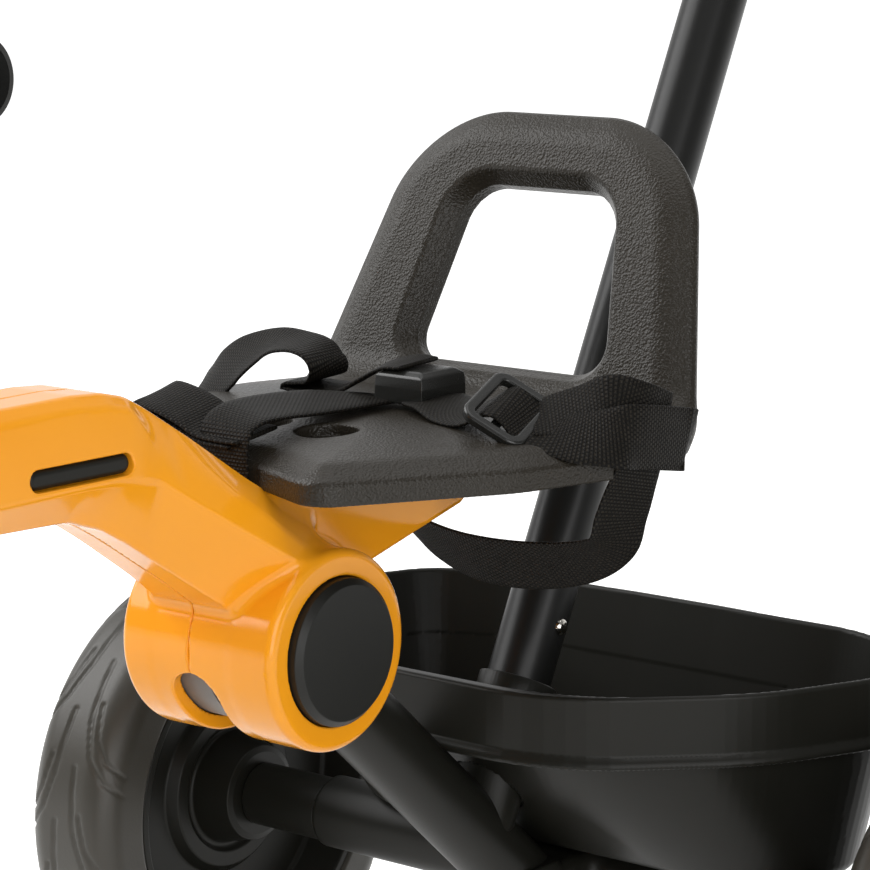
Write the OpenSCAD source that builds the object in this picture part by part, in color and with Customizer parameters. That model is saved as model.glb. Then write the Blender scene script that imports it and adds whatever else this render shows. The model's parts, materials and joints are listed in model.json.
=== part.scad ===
// Toddler push along trike: a moulded beam with a folding hub, a harnessed seat,
// two rear wheels with a basket between them, a lift-out push bar and a pedalled front wheel.
// Travel is towards -Y, the child's left is +X, and the tyres stand on Z = 0.
// Pieces are placed from the centre of the hub, where the rear frame folds.

/* [Stance] */
// Rear axle behind the hub
axle_back = 210; // [190:1:240]
// Rear axle below the hub
axle_drop = 146; // [135:1:160]
// Front axle ahead of the hub
front_ahead = 372; // [350:1:420]
// Lean of the steering axis
rake = 12; // [8:0.5:18]

/* [Hub] */
// Width across the hub's end flanges
hub_w = 75; // [70:0.5:84]
// Diameter of the end flanges
flange_d = 77; // [74:0.5:84]
// Thickness of each end flange
flange_t = 9.5; // [8:0.5:11]
// Diameter of the barrel between the flanges
barrel_d = 74; // [72:0.5:76]
// Wall of the barrel
barrel_wall = 3.8; // [3:0.1:5]
// Web that carries the pivot shaft
web_t = 4; // [3:0.5:5]
// Diameter of the pivot shaft
pivot_d = 12; // [10:0.5:14]
// Width of the slot that the leg's neck swings in
slot_w = 24; // [22:0.5:28]
// Lower end of that slot, in degrees below the rear
slot_end = 168; // [155:1:172]

/* [Hub buttons] */
// Diameter of the push disc
button_d = 57; // [50:0.5:60]
// Thickness of the push disc
button_t = 9; // [8:0.5:11]
// How far the disc stands out of the flange
button_proud = 5; // [4:0.25:6]
// How far the disc can be pressed in
button_travel = 3.5; // [2:0.25:4]
// Gap round the disc
button_gap = 0.5; // [0.3:0.1:1]

/* [Beam] */
// Top of the beam above the hub's axis
beam_top = 109; // [104:1:116]
// Depth of the beam
beam_h = 44; // [40:1:48]
// Width at the side crease
beam_w = 47; // [44:0.5:50]
// Width of the top face with its edges
beam_top_w = 39.6; // [36:0.5:42]
// Width of the underside
beam_under_w = 30; // [26:0.5:34]
// Wall of the moulding
beam_wall = 3.2; // [2.5:0.1:4]
// How far ahead of the hub the beam bends
beam_knee = 100; // [92:1:110]
// Width of the seat carrier behind the beam
carrier_w = 40; // [36:0.5:44]

/* [Seat] */
// Underside of the seat above the hub's axis
seat_z = 62; // [60:0.5:66]
// Width across the back of the pan
seat_w = 224; // [210:1:240]
// Length of the pan from its front corners to the backrest
seat_l = 182; // [170:1:200]
// Depth of the pan's edge
seat_edge = 8; // [6:0.5:10]
// Height of the border above the edge
seat_crown = 3; // [2:0.25:4]
// Width of the border round the dished middle
seat_border = 20; // [14:0.5:26]
// Height of the backrest along its slope
back_h = 134; // [122:1:150]
// Width of the backrest at its foot
back_w = 206; // [196:1:212]
// Width of the backrest below its top corners
back_top_w = 134; // [124:1:146]
// Thickness of the backrest
back_t = 16; // [14:0.5:22]
// Lean of the backrest
back_lean = 18; // [12:0.5:24]
// Width of the hand opening
grip_w = 104; // [90:1:110]
// Height of the hand opening
grip_h = 75; // [64:1:80]

/* [Harness] */
// Width of the webbing
web_w = 25; // [20:0.5:30]
// Thickness of the webbing
web_thick = 1.8; // [1.5:0.1:2.2]
// Length of the buckle housing
buckle_l = 42; // [38:0.5:48]
// Width of the buckle
buckle_w = 34; // [32:0.5:38]
// Thickness of the buckle
buckle_t = 10; // [9:0.5:12]

/* [Rear frame] */
// Diameter of the leg
leg_d = 32; // [28:0.5:33]
// Slope of the leg below level
leg_slope = 41.5; // [40:0.25:43]
// Height at which the leg's axis passes over the hub's axis
leg_over = 8.2; // [7:0.1:9.5]
// Width of the neck that swings in the hub's slot
neck_w = 20; // [16:0.5:20]
// Diameter of the cross member
cross_d = 34; // [30:0.5:36]
// Half length of the cross member
cross_half = 143; // [130:1:150]
// Diameter of the axle sleeves
sleeve_d = 30; // [26:0.5:32]
// Diameter of the axle rod
axle_d = 10; // [8:0.5:12]

/* [Rear wheels] */
// Diameter of the rear tyres
rear_tyre_d = 218; // [200:1:230]
// Width of the rear tyres
rear_tyre_w = 50; // [44:0.5:54]
// Depth of the rear tyres
rear_tyre_t = 29; // [24:0.5:34]
// Inner face of the rear tyres from the centre line
rear_in = 189; // [186:0.5:196]

/* [Basket] */
// Rim below the hub's axis
basket_drop = 37; // [36:0.5:42]
// Front of the rim behind the hub
basket_front = 105; // [104:0.5:110]
// Length of the rim
basket_l = 185; // [178:1:196]
// Width across the rear of the rim
basket_w = 316; // [300:1:324]
// Width across the front of the rim
basket_front_w = 166; // [156:1:176]
// Depth of the rim band
band_h = 25; // [20:0.5:30]
// Step from the band in to the body
band_step = 7; // [5:0.5:9]
// Wall of the basket
basket_wall = 3; // [2.5:0.25:4]

/* [Push bar] */
// Diameter of the push tube
push_d = 28; // [25:0.5:30]
// Wall of the push tube
push_wall = 1.9; // [1.5:0.1:2.5]
// Lean of the push tube
push_lean = 26.5; // [24:0.25:28]
// Foot of the push tube behind the hub
push_back = 166; // [164:0.5:168]
// Foot of the push tube below the hub
push_foot = 51; // [49:0.5:54]
// Handle above the hub's axis
handle_up = 670; // [560:5:720]
// Length of the handle
handle_l = 230; // [180:2:280]
// Diameter of the handle's grip
handle_d = 34; // [30:0.5:38]
// How far the push bar lifts
push_lift = 110; // [60:5:120]

/* [Steering] */
// Diameter of the head barrel
head_d = 52; // [48:0.5:56]
// Length of the head barrel
head_l = 76; // [66:1:84]
// Diameter of the steering column
column_d = 28; // [25:0.5:30]
// Handlebar above the front axle, along the steering axis
bar_up = 373; // [350:1:400]
// Width of the handlebar
bar_w = 330; // [300:2:350]
// Diameter of the handlebar
bar_d = 22; // [20:0.5:25]
// Diameter of the grips
grip_d = 31; // [28:0.5:34]
// Length of the grips
grip_l = 92; // [80:1:105]

/* [Front wheel] */
// Diameter of the front tyre
front_tyre_d = 250; // [230:1:260]
// Width of the front tyre
front_tyre_w = 46; // [40:0.5:50]
// Depth of the front tyre
front_tyre_t = 30; // [24:0.5:34]
// Thickness of each fork blade
blade_t = 12; // [9:0.5:14]
// Diameter of the crank axle
crank_d = 12; // [10:0.5:14]
// Length of the crank arms
crank_l = 65; // [55:1:72]
// Width of a pedal
pedal_w = 68; // [56:1:74]
// Length of a pedal
pedal_l = 54; // [44:1:60]
// Thickness of a pedal
pedal_t = 17; // [14:0.5:20]

/* [Hidden] */
$fn = 72;

// Colours
orange = "#F39A1C";
black = "#262624";
seat_black = "#363634";
webbing = "#1A1816";
rubber = "#1E1E1D";
drum_grey = "#6B6763";
steel = "#B8BABD";

// Fits and overruns
over = 1;
run_gap = 0.05;
free_gap = 0.4;
face_gap = 0.3;
corner_steps = 5;

// Heights and places
rear_tyre_r = rear_tyre_d / 2;
front_tyre_r = front_tyre_d / 2;
hub_z = rear_tyre_r + axle_drop;
front_axle_z = front_tyre_r - hub_z;
handle_y = push_back + (handle_up + push_foot) * tan(push_lean);
rear_reach = handle_y + handle_d / 2;
front_reach = front_ahead + front_tyre_r;
hub_y = (front_reach - rear_reach) / 2;

// Hub
flange_x = hub_w / 2;
flange_in = flange_x - flange_t;
button_gap_in = button_travel + over;
recess_x = flange_x + button_proud - button_t - button_gap_in;
cavity_x = recess_x - web_t;
cavity_r = barrel_d / 2 - barrel_wall;
drum_r = cavity_r - free_gap;
drum_half = cavity_x - free_gap;
slot_start = 8;
slot_steps = 8;
button_back = flange_x + button_proud - button_t;
button_bevel = 2;
spring_wire = 1.2;
spring_r = 14;
spring_grow = 6;
spring_turns = 2.5;
spring_steps = 36;
wire_sides = 6;

// Beam: stations from the head to the hub, as shares of the knee's distance and the top's height,
// then how far the shoulder lies below the top, the crease and the underside
beam_mid = beam_top - beam_h / 2;
beam_shares = [
    [-1.5, 1, 0.04, 0.7, 0.6],
    [-1.12, 1.005, 0.04, 0.706, 0.592],
    [-0.97, 0.995, 0.04, 0.706, 0.541],
    [-0.86, 0.972, 0.04, 0.693, 0.495],
    [-0.76, 0.922, 0.105, 0.679, 0.445],
    [-0.52, 0.789, 0.105, 0.569, 0.316],
    [-0.23, 0.615, 0.083, 0.413, 0.151],
    [0.06, 0.459, 0.1, 0.257, -0.01]
];
beam_edge_share = 0.8;
insert_l = 52;
insert_h = 8;
insert_back = 115;
insert_z = 83;
insert_depth = 1;
insert_lip = 2;
insert_lip_t = 2;
insert_face = beam_w / 2 - 2 * insert_depth;

// Seat carrier outline behind the beam, as shares of the seat's height
carrier_shares = [[-0.2, 1], [1.95, 1], [2.03, 0.9], [1.63, 0.645], [0.73, 0.42], [0.3, 0.3], [-0.2, 0.6]];
carrier_in_shares = [
    [0.1, 0.945], [1.9, 0.945], [1.93, 0.9], [1.6, 0.7], [0.75, 0.48], [0.56, 0.44], [0.1, 0.68]
];

// Screws
screw_d = 4;
screw_head_d = 8;
screw_head_t = 3;
boss_d = 11;
shell_screw_shares = [[-2.9, 0.8], [-2.2, 0.8], [-0.72, 0.68], [-0.32, 0.46]];
screw_seat = 15;
screw_reach = 14;
screw_tip = 1;
seat_screw_x = 11;
seat_screw_ys = [24, 92];
carrier_in_top = carrier_in_shares[0][1] * seat_z;

// Seat: front corners, notch over the beam, and the plan of the pan
seat_front = -33;
seat_rear = seat_front + seat_l;
seat_top = seat_z + seat_edge;
// Half plan of the pan from the notch to the rear, as shares of half its width and its length
seat_shares = [[0.2, 0.104], [0.33, 0], [0.48, 0], [0.86, 0.4], [1, 0.72], [0.9, 1]];
seat_r_shares = [0.05, 0.08, 0.1, 0.5, 0.4, 0.25];
// Rise of the border over the pan's edge, as shares of its width and height
border_shares = [[0, 0], [0.2, 0.8], [0.5, 1], [1, 0.33]];
back_set = 6;
back_y = seat_rear - back_set;
back_z = seat_z + over;
back_corner_r = 46;
back_foot_r = 24;
grip_up = 30;
grip_taper = 26;
grip_top_w = grip_w - grip_taper;
grip_corner_r = 17;

// Buckle and slider
tongue_in = 20;
tongue_out = 16;
tongue_w = 24;
tongue_t = 5.4;
slider_l = 28;
slider_w = 34;
slider_t = 3.5;
slider_bar = 4;
rise_share = 0.925;
buckle_shares = [0.02, 0.715, 0.125];
slider_shares = [0.474, 0.676, 0.1145];
buckle_x = buckle_shares[0] * seat_w / 2;
housing_end = buckle_l / 2 - buckle_x;
tongue_end = buckle_x + buckle_l / 2 + free_gap + tongue_out;
carrier_side = carrier_w / 2 + face_gap + web_thick / 2;

// Wheels and axles
rim_gap = 0.5;
rim_disc_t = 6;
rim_wall = 5;
boss_out = 43;
rim_boss_d = 46;
nut_d = 18;
nut_t = 6;
cap_d = 62;
cap_t = 14;
cap_wall = 2.5;
cap_bevel = 4;
cap_seat_r = rim_boss_d / 2 + run_gap;
cap_lap = 4;
cap_x = rear_in + boss_out - cap_lap;
tyre_bead_r = 2;
tyre_shoulder_share = 0.3;
axle_end = rear_in + boss_out + face_gap + nut_t;

// Leg and socket
leg_clear = 6;
leg_start = barrel_d / 2 + leg_clear;
leg_short = 16.5;
leg_len = axle_back * cos(leg_slope) + (axle_drop + leg_over) * sin(leg_slope) - leg_short;
neck_h = 24;
// Block that joins the leg to the cross member, as shares of the cross member's diameter
cross_block_shares = [
    [-1.7, 1], [-1, 0.44], [0.47, 0.44], [0.47, -0.44], [-0.3, -0.76], [-1.06, -0.82], [-1.88, -0.12]
];
cross_block_w = 52;
socket_y = (leg_over + push_foot + push_back / tan(push_lean)) / (tan(leg_slope) + 1 / tan(push_lean));
socket_z = leg_over - socket_y * tan(leg_slope);
socket_len = norm([0, push_back - socket_y, -push_foot - socket_z]);
socket_d = 31;
collar_d = 34;
collar_l = 13;
collar_seat = 9;
spigot_d = push_d - 2 * push_wall - 2 * run_gap;
spigot_clear = 20;
spigot_up = push_lift - spigot_clear;
spigot_down = 40;
spigot_wall = 1.5;
clip_up = 26;
clip_d = 7;
clip_proud = 1.6;
clip_t = 0.8;
clip_x = 8.5;
clip_round = 1;
handle_len = (handle_up + push_foot) / cos(push_lean);
handle_bar_d = 22;
tee_sleeve = 52;
tee_half = 22;
tube_stop = 4;
push_top = handle_len - handle_bar_d / 2 - tube_stop;

// Basket levels
floor_z = face_gap - axle_drop + cross_d / 2;
rim_lip = 4;
body_front_in = 9;
floor_front = 182;
floor_in = 20;
basket_front_r = 70;
basket_rear_r = 26;
basket_screw_x = 60;
basket_screw_l = 11;

// Steering frame sizes, measured up the steering axis from the front axle
head_over = 92;
head_z = front_tyre_d - hub_z + head_over;
head_lift = head_z - beam_mid;
head_mid = (head_z - front_axle_z) / cos(rake);
head_y = -front_ahead + (head_z - front_axle_z) * tan(rake);
head_low = head_mid - head_l / 2;
head_high = head_mid + head_l / 2;
bush_t = 4;
bush_d = 40;
bush_in = 18;
crown_top = head_low - bush_t - face_gap;
crown_gap = 12;
crown_low = front_tyre_r + crown_gap;
tyre_clear = 7;
blade_in = front_tyre_w / 2 + tyre_clear;
blade_w = 28;
column_wall = 2;
column_in = 24;
column_stop = 3;
column_top = bar_up - bar_d / 2 - column_stop;
cover_w = 74;
cover_h = 62;
cover_d = 44;
cover_r = 10;
cover_drop = 40;
cover_low = bar_up - cover_drop;
bolt_d = 6;
bolt_drop = 28;
bolt_up = bar_up - bolt_drop;
bolt_head_t = 3.5;
grip_end = 4;
crank_turn = 35;
crank_gap = 6;
crank_x = blade_in + blade_t + crank_gap;
crank_t = 10;
crank_w = 22;
spindle_d = 8;
pedal_gap = 3;

module at_hub() translate([0, hub_y, hub_z]) children();
module at_axle() at_hub() translate([0, axle_back, -axle_drop]) children();
module at_push() at_hub() translate([0, push_back, -push_foot]) rotate([-push_lean, 0, 0]) children();
module at_head() translate([0, -front_ahead, front_axle_z]) rotate([-rake, 0, 0]) children();
module at_front() at_hub() at_head() children();
module rod_x(d, from, to) translate([from, 0, 0]) rotate([0, 90, 0]) cylinder(d = d, h = to - from);
module flip(side) mirror([side < 0 ? 1 : 0, 0, 0]) children();
// An outline in Y and Z, drawn out along X
module slab_x(pts, from, to) translate([from, 0, 0]) rotate([90, 0, 90])
    linear_extrude(to - from) polygon(pts);

function unit(v) = v / norm(v);
function turned(pts) = [for (i = [len(pts) - 1:-1:0]) pts[i]];
function corner(a, b, c, r) =
    let (u = unit(a - b), v = unit(c - b), half = acos(u * v) / 2)
    let (o = b + unit(u + v) * r / sin(half))
    let (s = b + u * r / tan(half) - o, e = b + v * r / tan(half) - o)
    [for (i = [0:corner_steps]) o + r * unit(s * (corner_steps - i) + e * i)];
// Rounds each corner of an outline by its own radius
function rounded(pts, rs) =
    let (n = len(pts))
    [for (i = [0:n - 1]) each corner(pts[(i + n - 1) % n], pts[i], pts[(i + 1) % n], rs[i])];
// Both sides of a half outline that runs from the front centre to the rear centre
function both_sides(half) = concat(half, [for (p = turned(half)) [-p[0], p[1]]]);
function at_z(pts, z) = [for (p = pts) [p[0], p[1], z]];

// A solid skinned over closed rings with equal point counts
module skin(rings) {
    n = len(rings[0]);
    last = (len(rings) - 1) * n;
    sides = [for (k = [0:len(rings) - 2], i = [0:n - 1])
        let (a = k * n + i, b = k * n + (i + 1) % n)
        each [[a, b, b + n], [a, b + n, a + n]]];
    caps = [[for (i = [n - 1:-1:0]) i], [for (i = [0:n - 1]) last + i]];
    polyhedron([for (r = rings) each r], [for (f = concat(sides, caps)) turned(f)]);
}

// Webbing along a route of points, each with the direction of the webbing's width
function ribbon_ring(route, i) =
    let (n = len(route), t = unit(route[min(i + 1, n - 1)][0] - route[max(i - 1, 0)][0]))
    let (flat = unit(route[i][1] - t * (route[i][1] * t)), up = cross(t, flat), p = route[i][0])
    [for (c = [[1, 1], [-1, 1], [-1, -1], [1, -1]])
        p + flat * c[0] * web_w / 2 + up * c[1] * web_thick / 2];
module ribbon(route) skin([for (i = [0:len(route) - 1]) ribbon_ring(route, i)]);

// A round wire along points
function wire_ring(path, i, r, sides) =
    let (n = len(path), t = unit(path[min(i + 1, n - 1)] - path[max(i - 1, 0)]))
    let (a = unit(cross(t, [1, 0, 0])), b = cross(t, a))
    [for (k = [0:sides - 1]) path[i] + r * (a * cos(360 * k / sides) - b * sin(360 * k / sides))];

// Orange body: one half of the moulding, seen as the child's left half
function beam_ring(y, s) =
    let (top = s[1] * beam_top, crease = s[3] * beam_top, low = s[4] * beam_top, w = beam_wall)
    let (shoulder = top - s[2] * beam_top, flat_x = beam_top_w / 2 * beam_edge_share)
    let (side_x = beam_top_w / 2 + (beam_w - beam_top_w) / 2 * (top - shoulder) / (top - crease))
    let (wide_x = beam_w / 2, under_x = beam_under_w / 2)
    [[0, y, top], [flat_x, y, top], [side_x, y, shoulder], [wide_x, y, crease], [under_x, y, low],
     [0, y, low], [0, y, low + w], [under_x - w / 2, y, low + w], [wide_x - w, y, crease],
     [side_x - w, y, shoulder - w / 2], [flat_x - w / 2, y, top - w], [0, y, top - w]];
// The beam runs straight from its first station to the middle of the head
function beam_rise(y) =
    let (start = beam_shares[0][0] * beam_knee)
    head_lift * max(0, (y - start) / (head_y - start));
function screw_at(s) = [0, s[0] * beam_knee, s[1] * beam_top + beam_rise(s[0] * beam_knee)];
function beam_rings() = concat(
    [[for (p = beam_ring(head_y, beam_shares[0])) p + [0, 0, head_lift]]],
    [for (s = beam_shares) beam_ring(s[0] * beam_knee, s)]);
function scaled(shares, size) = [for (s = shares) s * size];

module stadium(l, h) {
    translate([-l / 2 + h / 2, 0]) circle(d = h);
    translate([l / 2 - h / 2, 0]) circle(d = h);
    square([l - h, h], center = true);
}
module at_insert() translate([0, -insert_back, insert_z]) rotate([90, 0, 90]) children();
module shell_bosses() {
    for (s = shell_screw_shares) translate(screw_at(s)) rod_x(boss_d, 0, beam_w / 2 - beam_wall);
}
module beam_shell(side) flip(side) difference() {
    union() {
        skin(beam_rings());
        rod_x(barrel_d, 0, flange_in + over);
        rod_x(flange_d, flange_in, flange_x);
        difference() {
            slab_x(scaled(carrier_shares, seat_z), 0, carrier_w / 2);
            slab_x(scaled(carrier_in_shares, seat_z), -over, carrier_w / 2 - beam_wall);
        }
        at_head() intersection() {
            translate([0, 0, head_low]) cylinder(d = head_d, h = head_l);
            translate([0, -head_d, head_low]) cube([head_d, 2 * head_d, head_l]);
        }
        shell_bosses();
    }
    rod_x(2 * cavity_r, -over, cavity_x);
    rod_x(button_d + 2 * button_gap, recess_x, flange_x + over);
    rod_x(pivot_d + 2 * run_gap, -over, flange_x);
    slab_x(concat([[0, 0]], [for (a = [slot_start:(slot_end - slot_start) / slot_steps:slot_end])
        barrel_d * [cos(a), -sin(a)]]), -over, slot_w / 2);
    at_head() translate([0, 0, head_low - over]) cylinder(d = bush_d + 2 * run_gap, h = head_l + 2 * over);
    at_insert() linear_extrude(beam_w) stadium(insert_l, insert_h);
    for (s = shell_screw_shares) translate(screw_at(s)) {
        if (side > 0) rod_x(screw_d + 2 * run_gap, -over, screw_reach + over);
        if (side < 0) rod_x(screw_d + 2 * run_gap, -over, beam_w);
        if (side < 0) rod_x(screw_head_d + 2 * free_gap, screw_seat, beam_w);
    }
    for (y = seat_screw_ys) translate([seat_screw_x, y, carrier_in_top - over])
        cylinder(d = screw_d + 2 * run_gap, h = seat_z - carrier_in_top + 2 * over);
}
module beam_shell_left() color(orange) at_hub() beam_shell(1);
module beam_shell_right() color(orange) at_hub() beam_shell(-1);

module shell_screws() color(steel) at_hub() for (s = shell_screw_shares) translate(screw_at(s)) {
    rod_x(screw_d, -screw_seat, screw_reach);
    rod_x(screw_head_d, -screw_seat - screw_head_t, -screw_seat);
}

module slot_insert(side) color(black) at_hub() flip(side) at_insert() {
    translate([0, 0, insert_face - insert_lip_t - beam_wall])
        linear_extrude(insert_lip_t) stadium(insert_l + 2 * insert_lip, insert_h + 2 * insert_lip);
    translate([0, 0, insert_face - beam_wall - insert_lip_t])
        linear_extrude(beam_wall + insert_lip_t) stadium(insert_l - 2 * run_gap, insert_h - 2 * run_gap);
}
module slot_insert_left() slot_insert(1);
module slot_insert_right() slot_insert(-1);

module pivot_shaft() color(steel) at_hub() rod_x(pivot_d, -recess_x, recess_x);

module head_bush(up) color(black) at_hub() at_head() translate([0, 0, up ? head_high : head_low])
    mirror([0, 0, up ? 1 : 0]) difference() {
        union() {
            translate([0, 0, -bush_t]) cylinder(d = head_d, h = bush_t);
            cylinder(d = bush_d, h = bush_in);
        }
        translate([0, 0, -bush_t - over])
            cylinder(d = column_d + 2 * run_gap, h = bush_t + bush_in + 2 * over);
    }
module head_bush_upper() head_bush(true);
module head_bush_lower() head_bush(false);

// Seat: dished pan and backrest in one moulding
function seat_plan() =
    let (half = [for (s = seat_shares) [s[0] * seat_w / 2, seat_front + s[1] * seat_l]])
    let (rs = seat_r_shares * seat_w / 2)
    rounded(both_sides(half), concat(rs, turned(rs)));
function seat_ring(inset, z) = [for (p = seat_plan())
    [p[0] * (1 - 2 * inset / seat_w), p[1] + (seat_front + seat_l / 2 - p[1]) * 2 * inset / seat_l, z]];
module back_plan() difference() {
    polygon(rounded(
        [[-back_w / 2, 0], [back_w / 2, 0], [back_top_w / 2, back_h], [-back_top_w / 2, back_h]],
        [back_foot_r, back_foot_r, back_corner_r, back_corner_r]));
    polygon(rounded(
        [[-grip_w / 2, grip_up], [grip_w / 2, grip_up],
         [grip_top_w / 2, grip_up + grip_h], [-grip_top_w / 2, grip_up + grip_h]],
        [grip_corner_r, grip_corner_r, grip_corner_r, grip_corner_r]));
}
module seat_shell() color(seat_black) at_hub() difference() {
    union() {
        skin(concat([seat_ring(0, seat_z)],
            [for (s = border_shares) seat_ring(s[0] * seat_border, seat_top + s[1] * seat_crown)]));
        difference() {
            translate([0, back_y, back_z]) rotate([90 - back_lean, 0, 0])
                translate([0, 0, -back_t]) linear_extrude(back_t) back_plan();
            translate([-seat_w / 2, back_y, back_z - back_t]) cube([seat_w, 2 * back_t, back_t]);
        }
    }
    for (x = [-1, 1], y = seat_screw_ys) translate([x * seat_screw_x, y, seat_z - over])
        cylinder(d = screw_d + 2 * run_gap, h = seat_edge + over - screw_tip);
}

module seat_screws() color(steel) at_hub()
    for (x = [-1, 1], y = seat_screw_ys) translate([x * seat_screw_x, y, carrier_in_top]) {
        translate([0, 0, -screw_head_t]) cylinder(d = screw_head_d, h = screw_head_t);
        cylinder(d = screw_d, h = seat_top - 2 * screw_tip - carrier_in_top);
    }

// Harness: each point of a webbing route is a share of the way from a fitting out to the seat's edge,
// a share of the seat's length and of the backrest's height, then the direction of the webbing's width
function route_point(from, s) =
    [from + s[0] * (seat_w / 2 - from), seat_front + s[1] * seat_l, seat_top + s[2] * rise_share * back_h];
function route(from, shares) = [for (s = shares) [route_point(from, s), [s[3], s[4], s[5]]]];
crotch_shares = [
    [-0.02, 0.095, -0.04, 1, 0, 0], [-0.02, 0.095, 0.016, 1, 0, 0], [-0.03, 0.122, 0.052, 1, 0, 0],
    [-0.07, 0.2, 0.058, 1, 0.2, 0], [-0.1, 0.36, 0.058, 1, 0.2, 0], [-0.14, 0.5, 0.06, 1, 0.2, 0],
    [-0.17, 0.6, 0.066, 1, 0.2, 0]
];
waist_top_shares = [
    [0.011, 0.69, 0.122, 0, 1, 0], [0.12, 0.69, 0.1, 0, 1, 0], [0.23, 0.68, 0.09, 0, 1, 0],
    [0.69, 0.68, 0.09, 0, 1, 0], [0.845, 0.7, 0.07, 0, 1, 0], [0.955, 0.71, 0.045, 0, 1, 0],
    [1.045, 0.73, 0, 0, 1, 0], [1.06, 0.745, -0.1, 0, 1, 0], [1.045, 0.755, -0.22, 0, 1, 0]
];
waist_loop_shares = [
    [0.91, 0.74, -0.33, 0, 1, 0.1], [0.69, 0.69, -0.39, 0, 1, 0.1], [0.445, 0.62, -0.4, 0, 1, 0.1],
    [0.21, 0.55, -0.34, 0, 1, 0.1], [0.04, 0.49, -0.26, 0, 1, 0.1], [0, 0.48, -0.16, 0, 1, 0.1]
];
waist_far_shares = [
    [1.01, 0.58, -0.12, 0, 1, 0], [1.01, 0.58, 0.01, 0, 1, 0], [0.94, 0.6, 0.11, 0, 1, 0],
    [0.76, 0.62, 0.22, 0, 1, 0], [0.5, 0.64, 0.28, 0, 1, 0], [0.255, 0.66, 0.26, 0, 1, 0],
    [0.11, 0.7, 0.19, 0, 1, 0], [0.012, 0.7, 0.135, 0, 1, 0]
];
module crotch_strap() color(webbing) at_hub() ribbon(route(0, crotch_shares));
module waist_strap_left() color(webbing) at_hub()
    ribbon(concat(route(tongue_end, waist_top_shares), route(carrier_side, waist_loop_shares)));
module waist_strap_right() color(webbing) at_hub() flip(-1) ribbon(route(housing_end, waist_far_shares));

// Side-release buckle, lying across the seat, with its slider beside it
module at_buckle() at_hub() translate(route_point(0, buckle_shares)) children();
module plate(l, w, t, r) linear_extrude(t, center = true)
    polygon(rounded([[-l / 2, -w / 2], [l / 2, -w / 2], [l / 2, w / 2], [-l / 2, w / 2]], [r, r, r, r]));
module buckle_housing() color(black) at_buckle() difference() {
    plate(buckle_l, buckle_w, buckle_t, buckle_t / 2);
    translate([buckle_l / 2 - tongue_in / 2 + over / 2, 0, 0])
        cube([tongue_in + over, tongue_w + 2 * free_gap, tongue_t + 2 * free_gap], center = true);
}
module buckle_tongue() color(black) at_buckle() {
    translate([buckle_l / 2 - tongue_in / 2 + over, 0, 0])
        cube([tongue_in + over, tongue_w, tongue_t], center = true);
    translate([buckle_l / 2 + tongue_out / 2 + free_gap, 0, 0]) difference() {
        plate(tongue_out, buckle_w, tongue_t, tongue_t / 2);
        translate([tongue_out / 8, 0, 0])
            cube([tongue_out / 3, web_w + over, tongue_t + over], center = true);
    }
}
module strap_slider() color(black) at_hub() translate(route_point(tongue_end, slider_shares)) difference() {
    plate(slider_l, slider_w, slider_t, slider_t);
    for (side = [-1, 1]) translate([side * (slider_l - slider_bar) / 4, 0, 0])
        cube([(slider_l - 3 * slider_bar) / 2, web_w + over, slider_t + over], center = true);
}

// Hub buttons and their springs
module hub_button(side) color(black) at_hub() flip(side) translate([button_back, 0, 0]) rotate([0, 90, 0])
    rotate_extrude() polygon([[0, 0], [button_d / 2, 0], [button_d / 2, button_t - button_bevel],
        [button_d / 2 - button_bevel, button_t], [0, button_t]]);
module hub_button_left() hub_button(1);
module hub_button_right() hub_button(-1);
function spring_path() = [for (i = [0:spring_steps]) let (t = i / spring_steps, a = 360 * spring_turns * t)
    [recess_x + spring_wire + (button_back - recess_x - 2 * spring_wire) * t,
     (spring_r + spring_grow * t) * cos(a), (spring_r + spring_grow * t) * sin(a)]];
module button_spring(side) color(steel) at_hub() flip(side)
    skin([for (i = [0:spring_steps]) wire_ring(spring_path(), i, spring_wire / 2, wire_sides)]);
module button_spring_left() button_spring(1);
module button_spring_right() button_spring(-1);

// Rear frame: drum in the hub, neck and leg, cross member and axle
module pivot_drum() color(drum_grey) at_hub() difference() {
    rod_x(2 * drum_r, -drum_half, drum_half);
    rod_x(pivot_d + 2 * run_gap, -hub_w, hub_w);
}
module at_leg() translate([0, 0, leg_over]) rotate([-90 - leg_slope, 0, 0]) children();
module rear_leg() color(black) at_hub() difference() {
    at_leg() {
        translate([0, 0, leg_start]) cylinder(d = leg_d, h = leg_len - leg_start);
        translate([-neck_w / 2, -neck_h / 2, 0]) cube([neck_w, neck_h, leg_start + over]);
    }
    rod_x(2 * drum_r + 2 * run_gap, -hub_w, hub_w);
}
module cross_member() color(black) difference() {
    at_axle() {
        rod_x(cross_d, -cross_half, cross_half);
        slab_x(scaled(cross_block_shares, cross_d), -cross_block_w / 2, cross_block_w / 2);
    }
    at_hub() at_leg() translate([0, 0, leg_start]) cylinder(d = leg_d + 2 * run_gap, h = leg_len - leg_start);
    at_axle() rod_x(axle_d + 2 * run_gap, -cross_half - over, cross_half + over);
    at_axle() for (side = [-1, 1]) translate([side * basket_screw_x, 0, cross_d / 2 - basket_screw_l])
        cylinder(d = screw_d + 2 * run_gap, h = basket_screw_l + over);
}
module axle_sleeve(side) color(black) at_axle() flip(side) difference() {
    rod_x(sleeve_d, cross_half, rear_in - face_gap);
    rod_x(axle_d + 2 * run_gap, cross_half - over, rear_in + over);
}
module axle_sleeve_left() axle_sleeve(1);
module axle_sleeve_right() axle_sleeve(-1);
module axle_rod() color(steel) at_axle() rod_x(axle_d, -axle_end, axle_end);
module axle_nuts() color(steel) at_axle() for (side = [-1, 1]) flip(side) difference() {
    rod_x(nut_d, axle_end - nut_t, axle_end);
    rod_x(axle_d + 2 * run_gap, axle_end - nut_t - over, axle_end + over);
}

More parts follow.
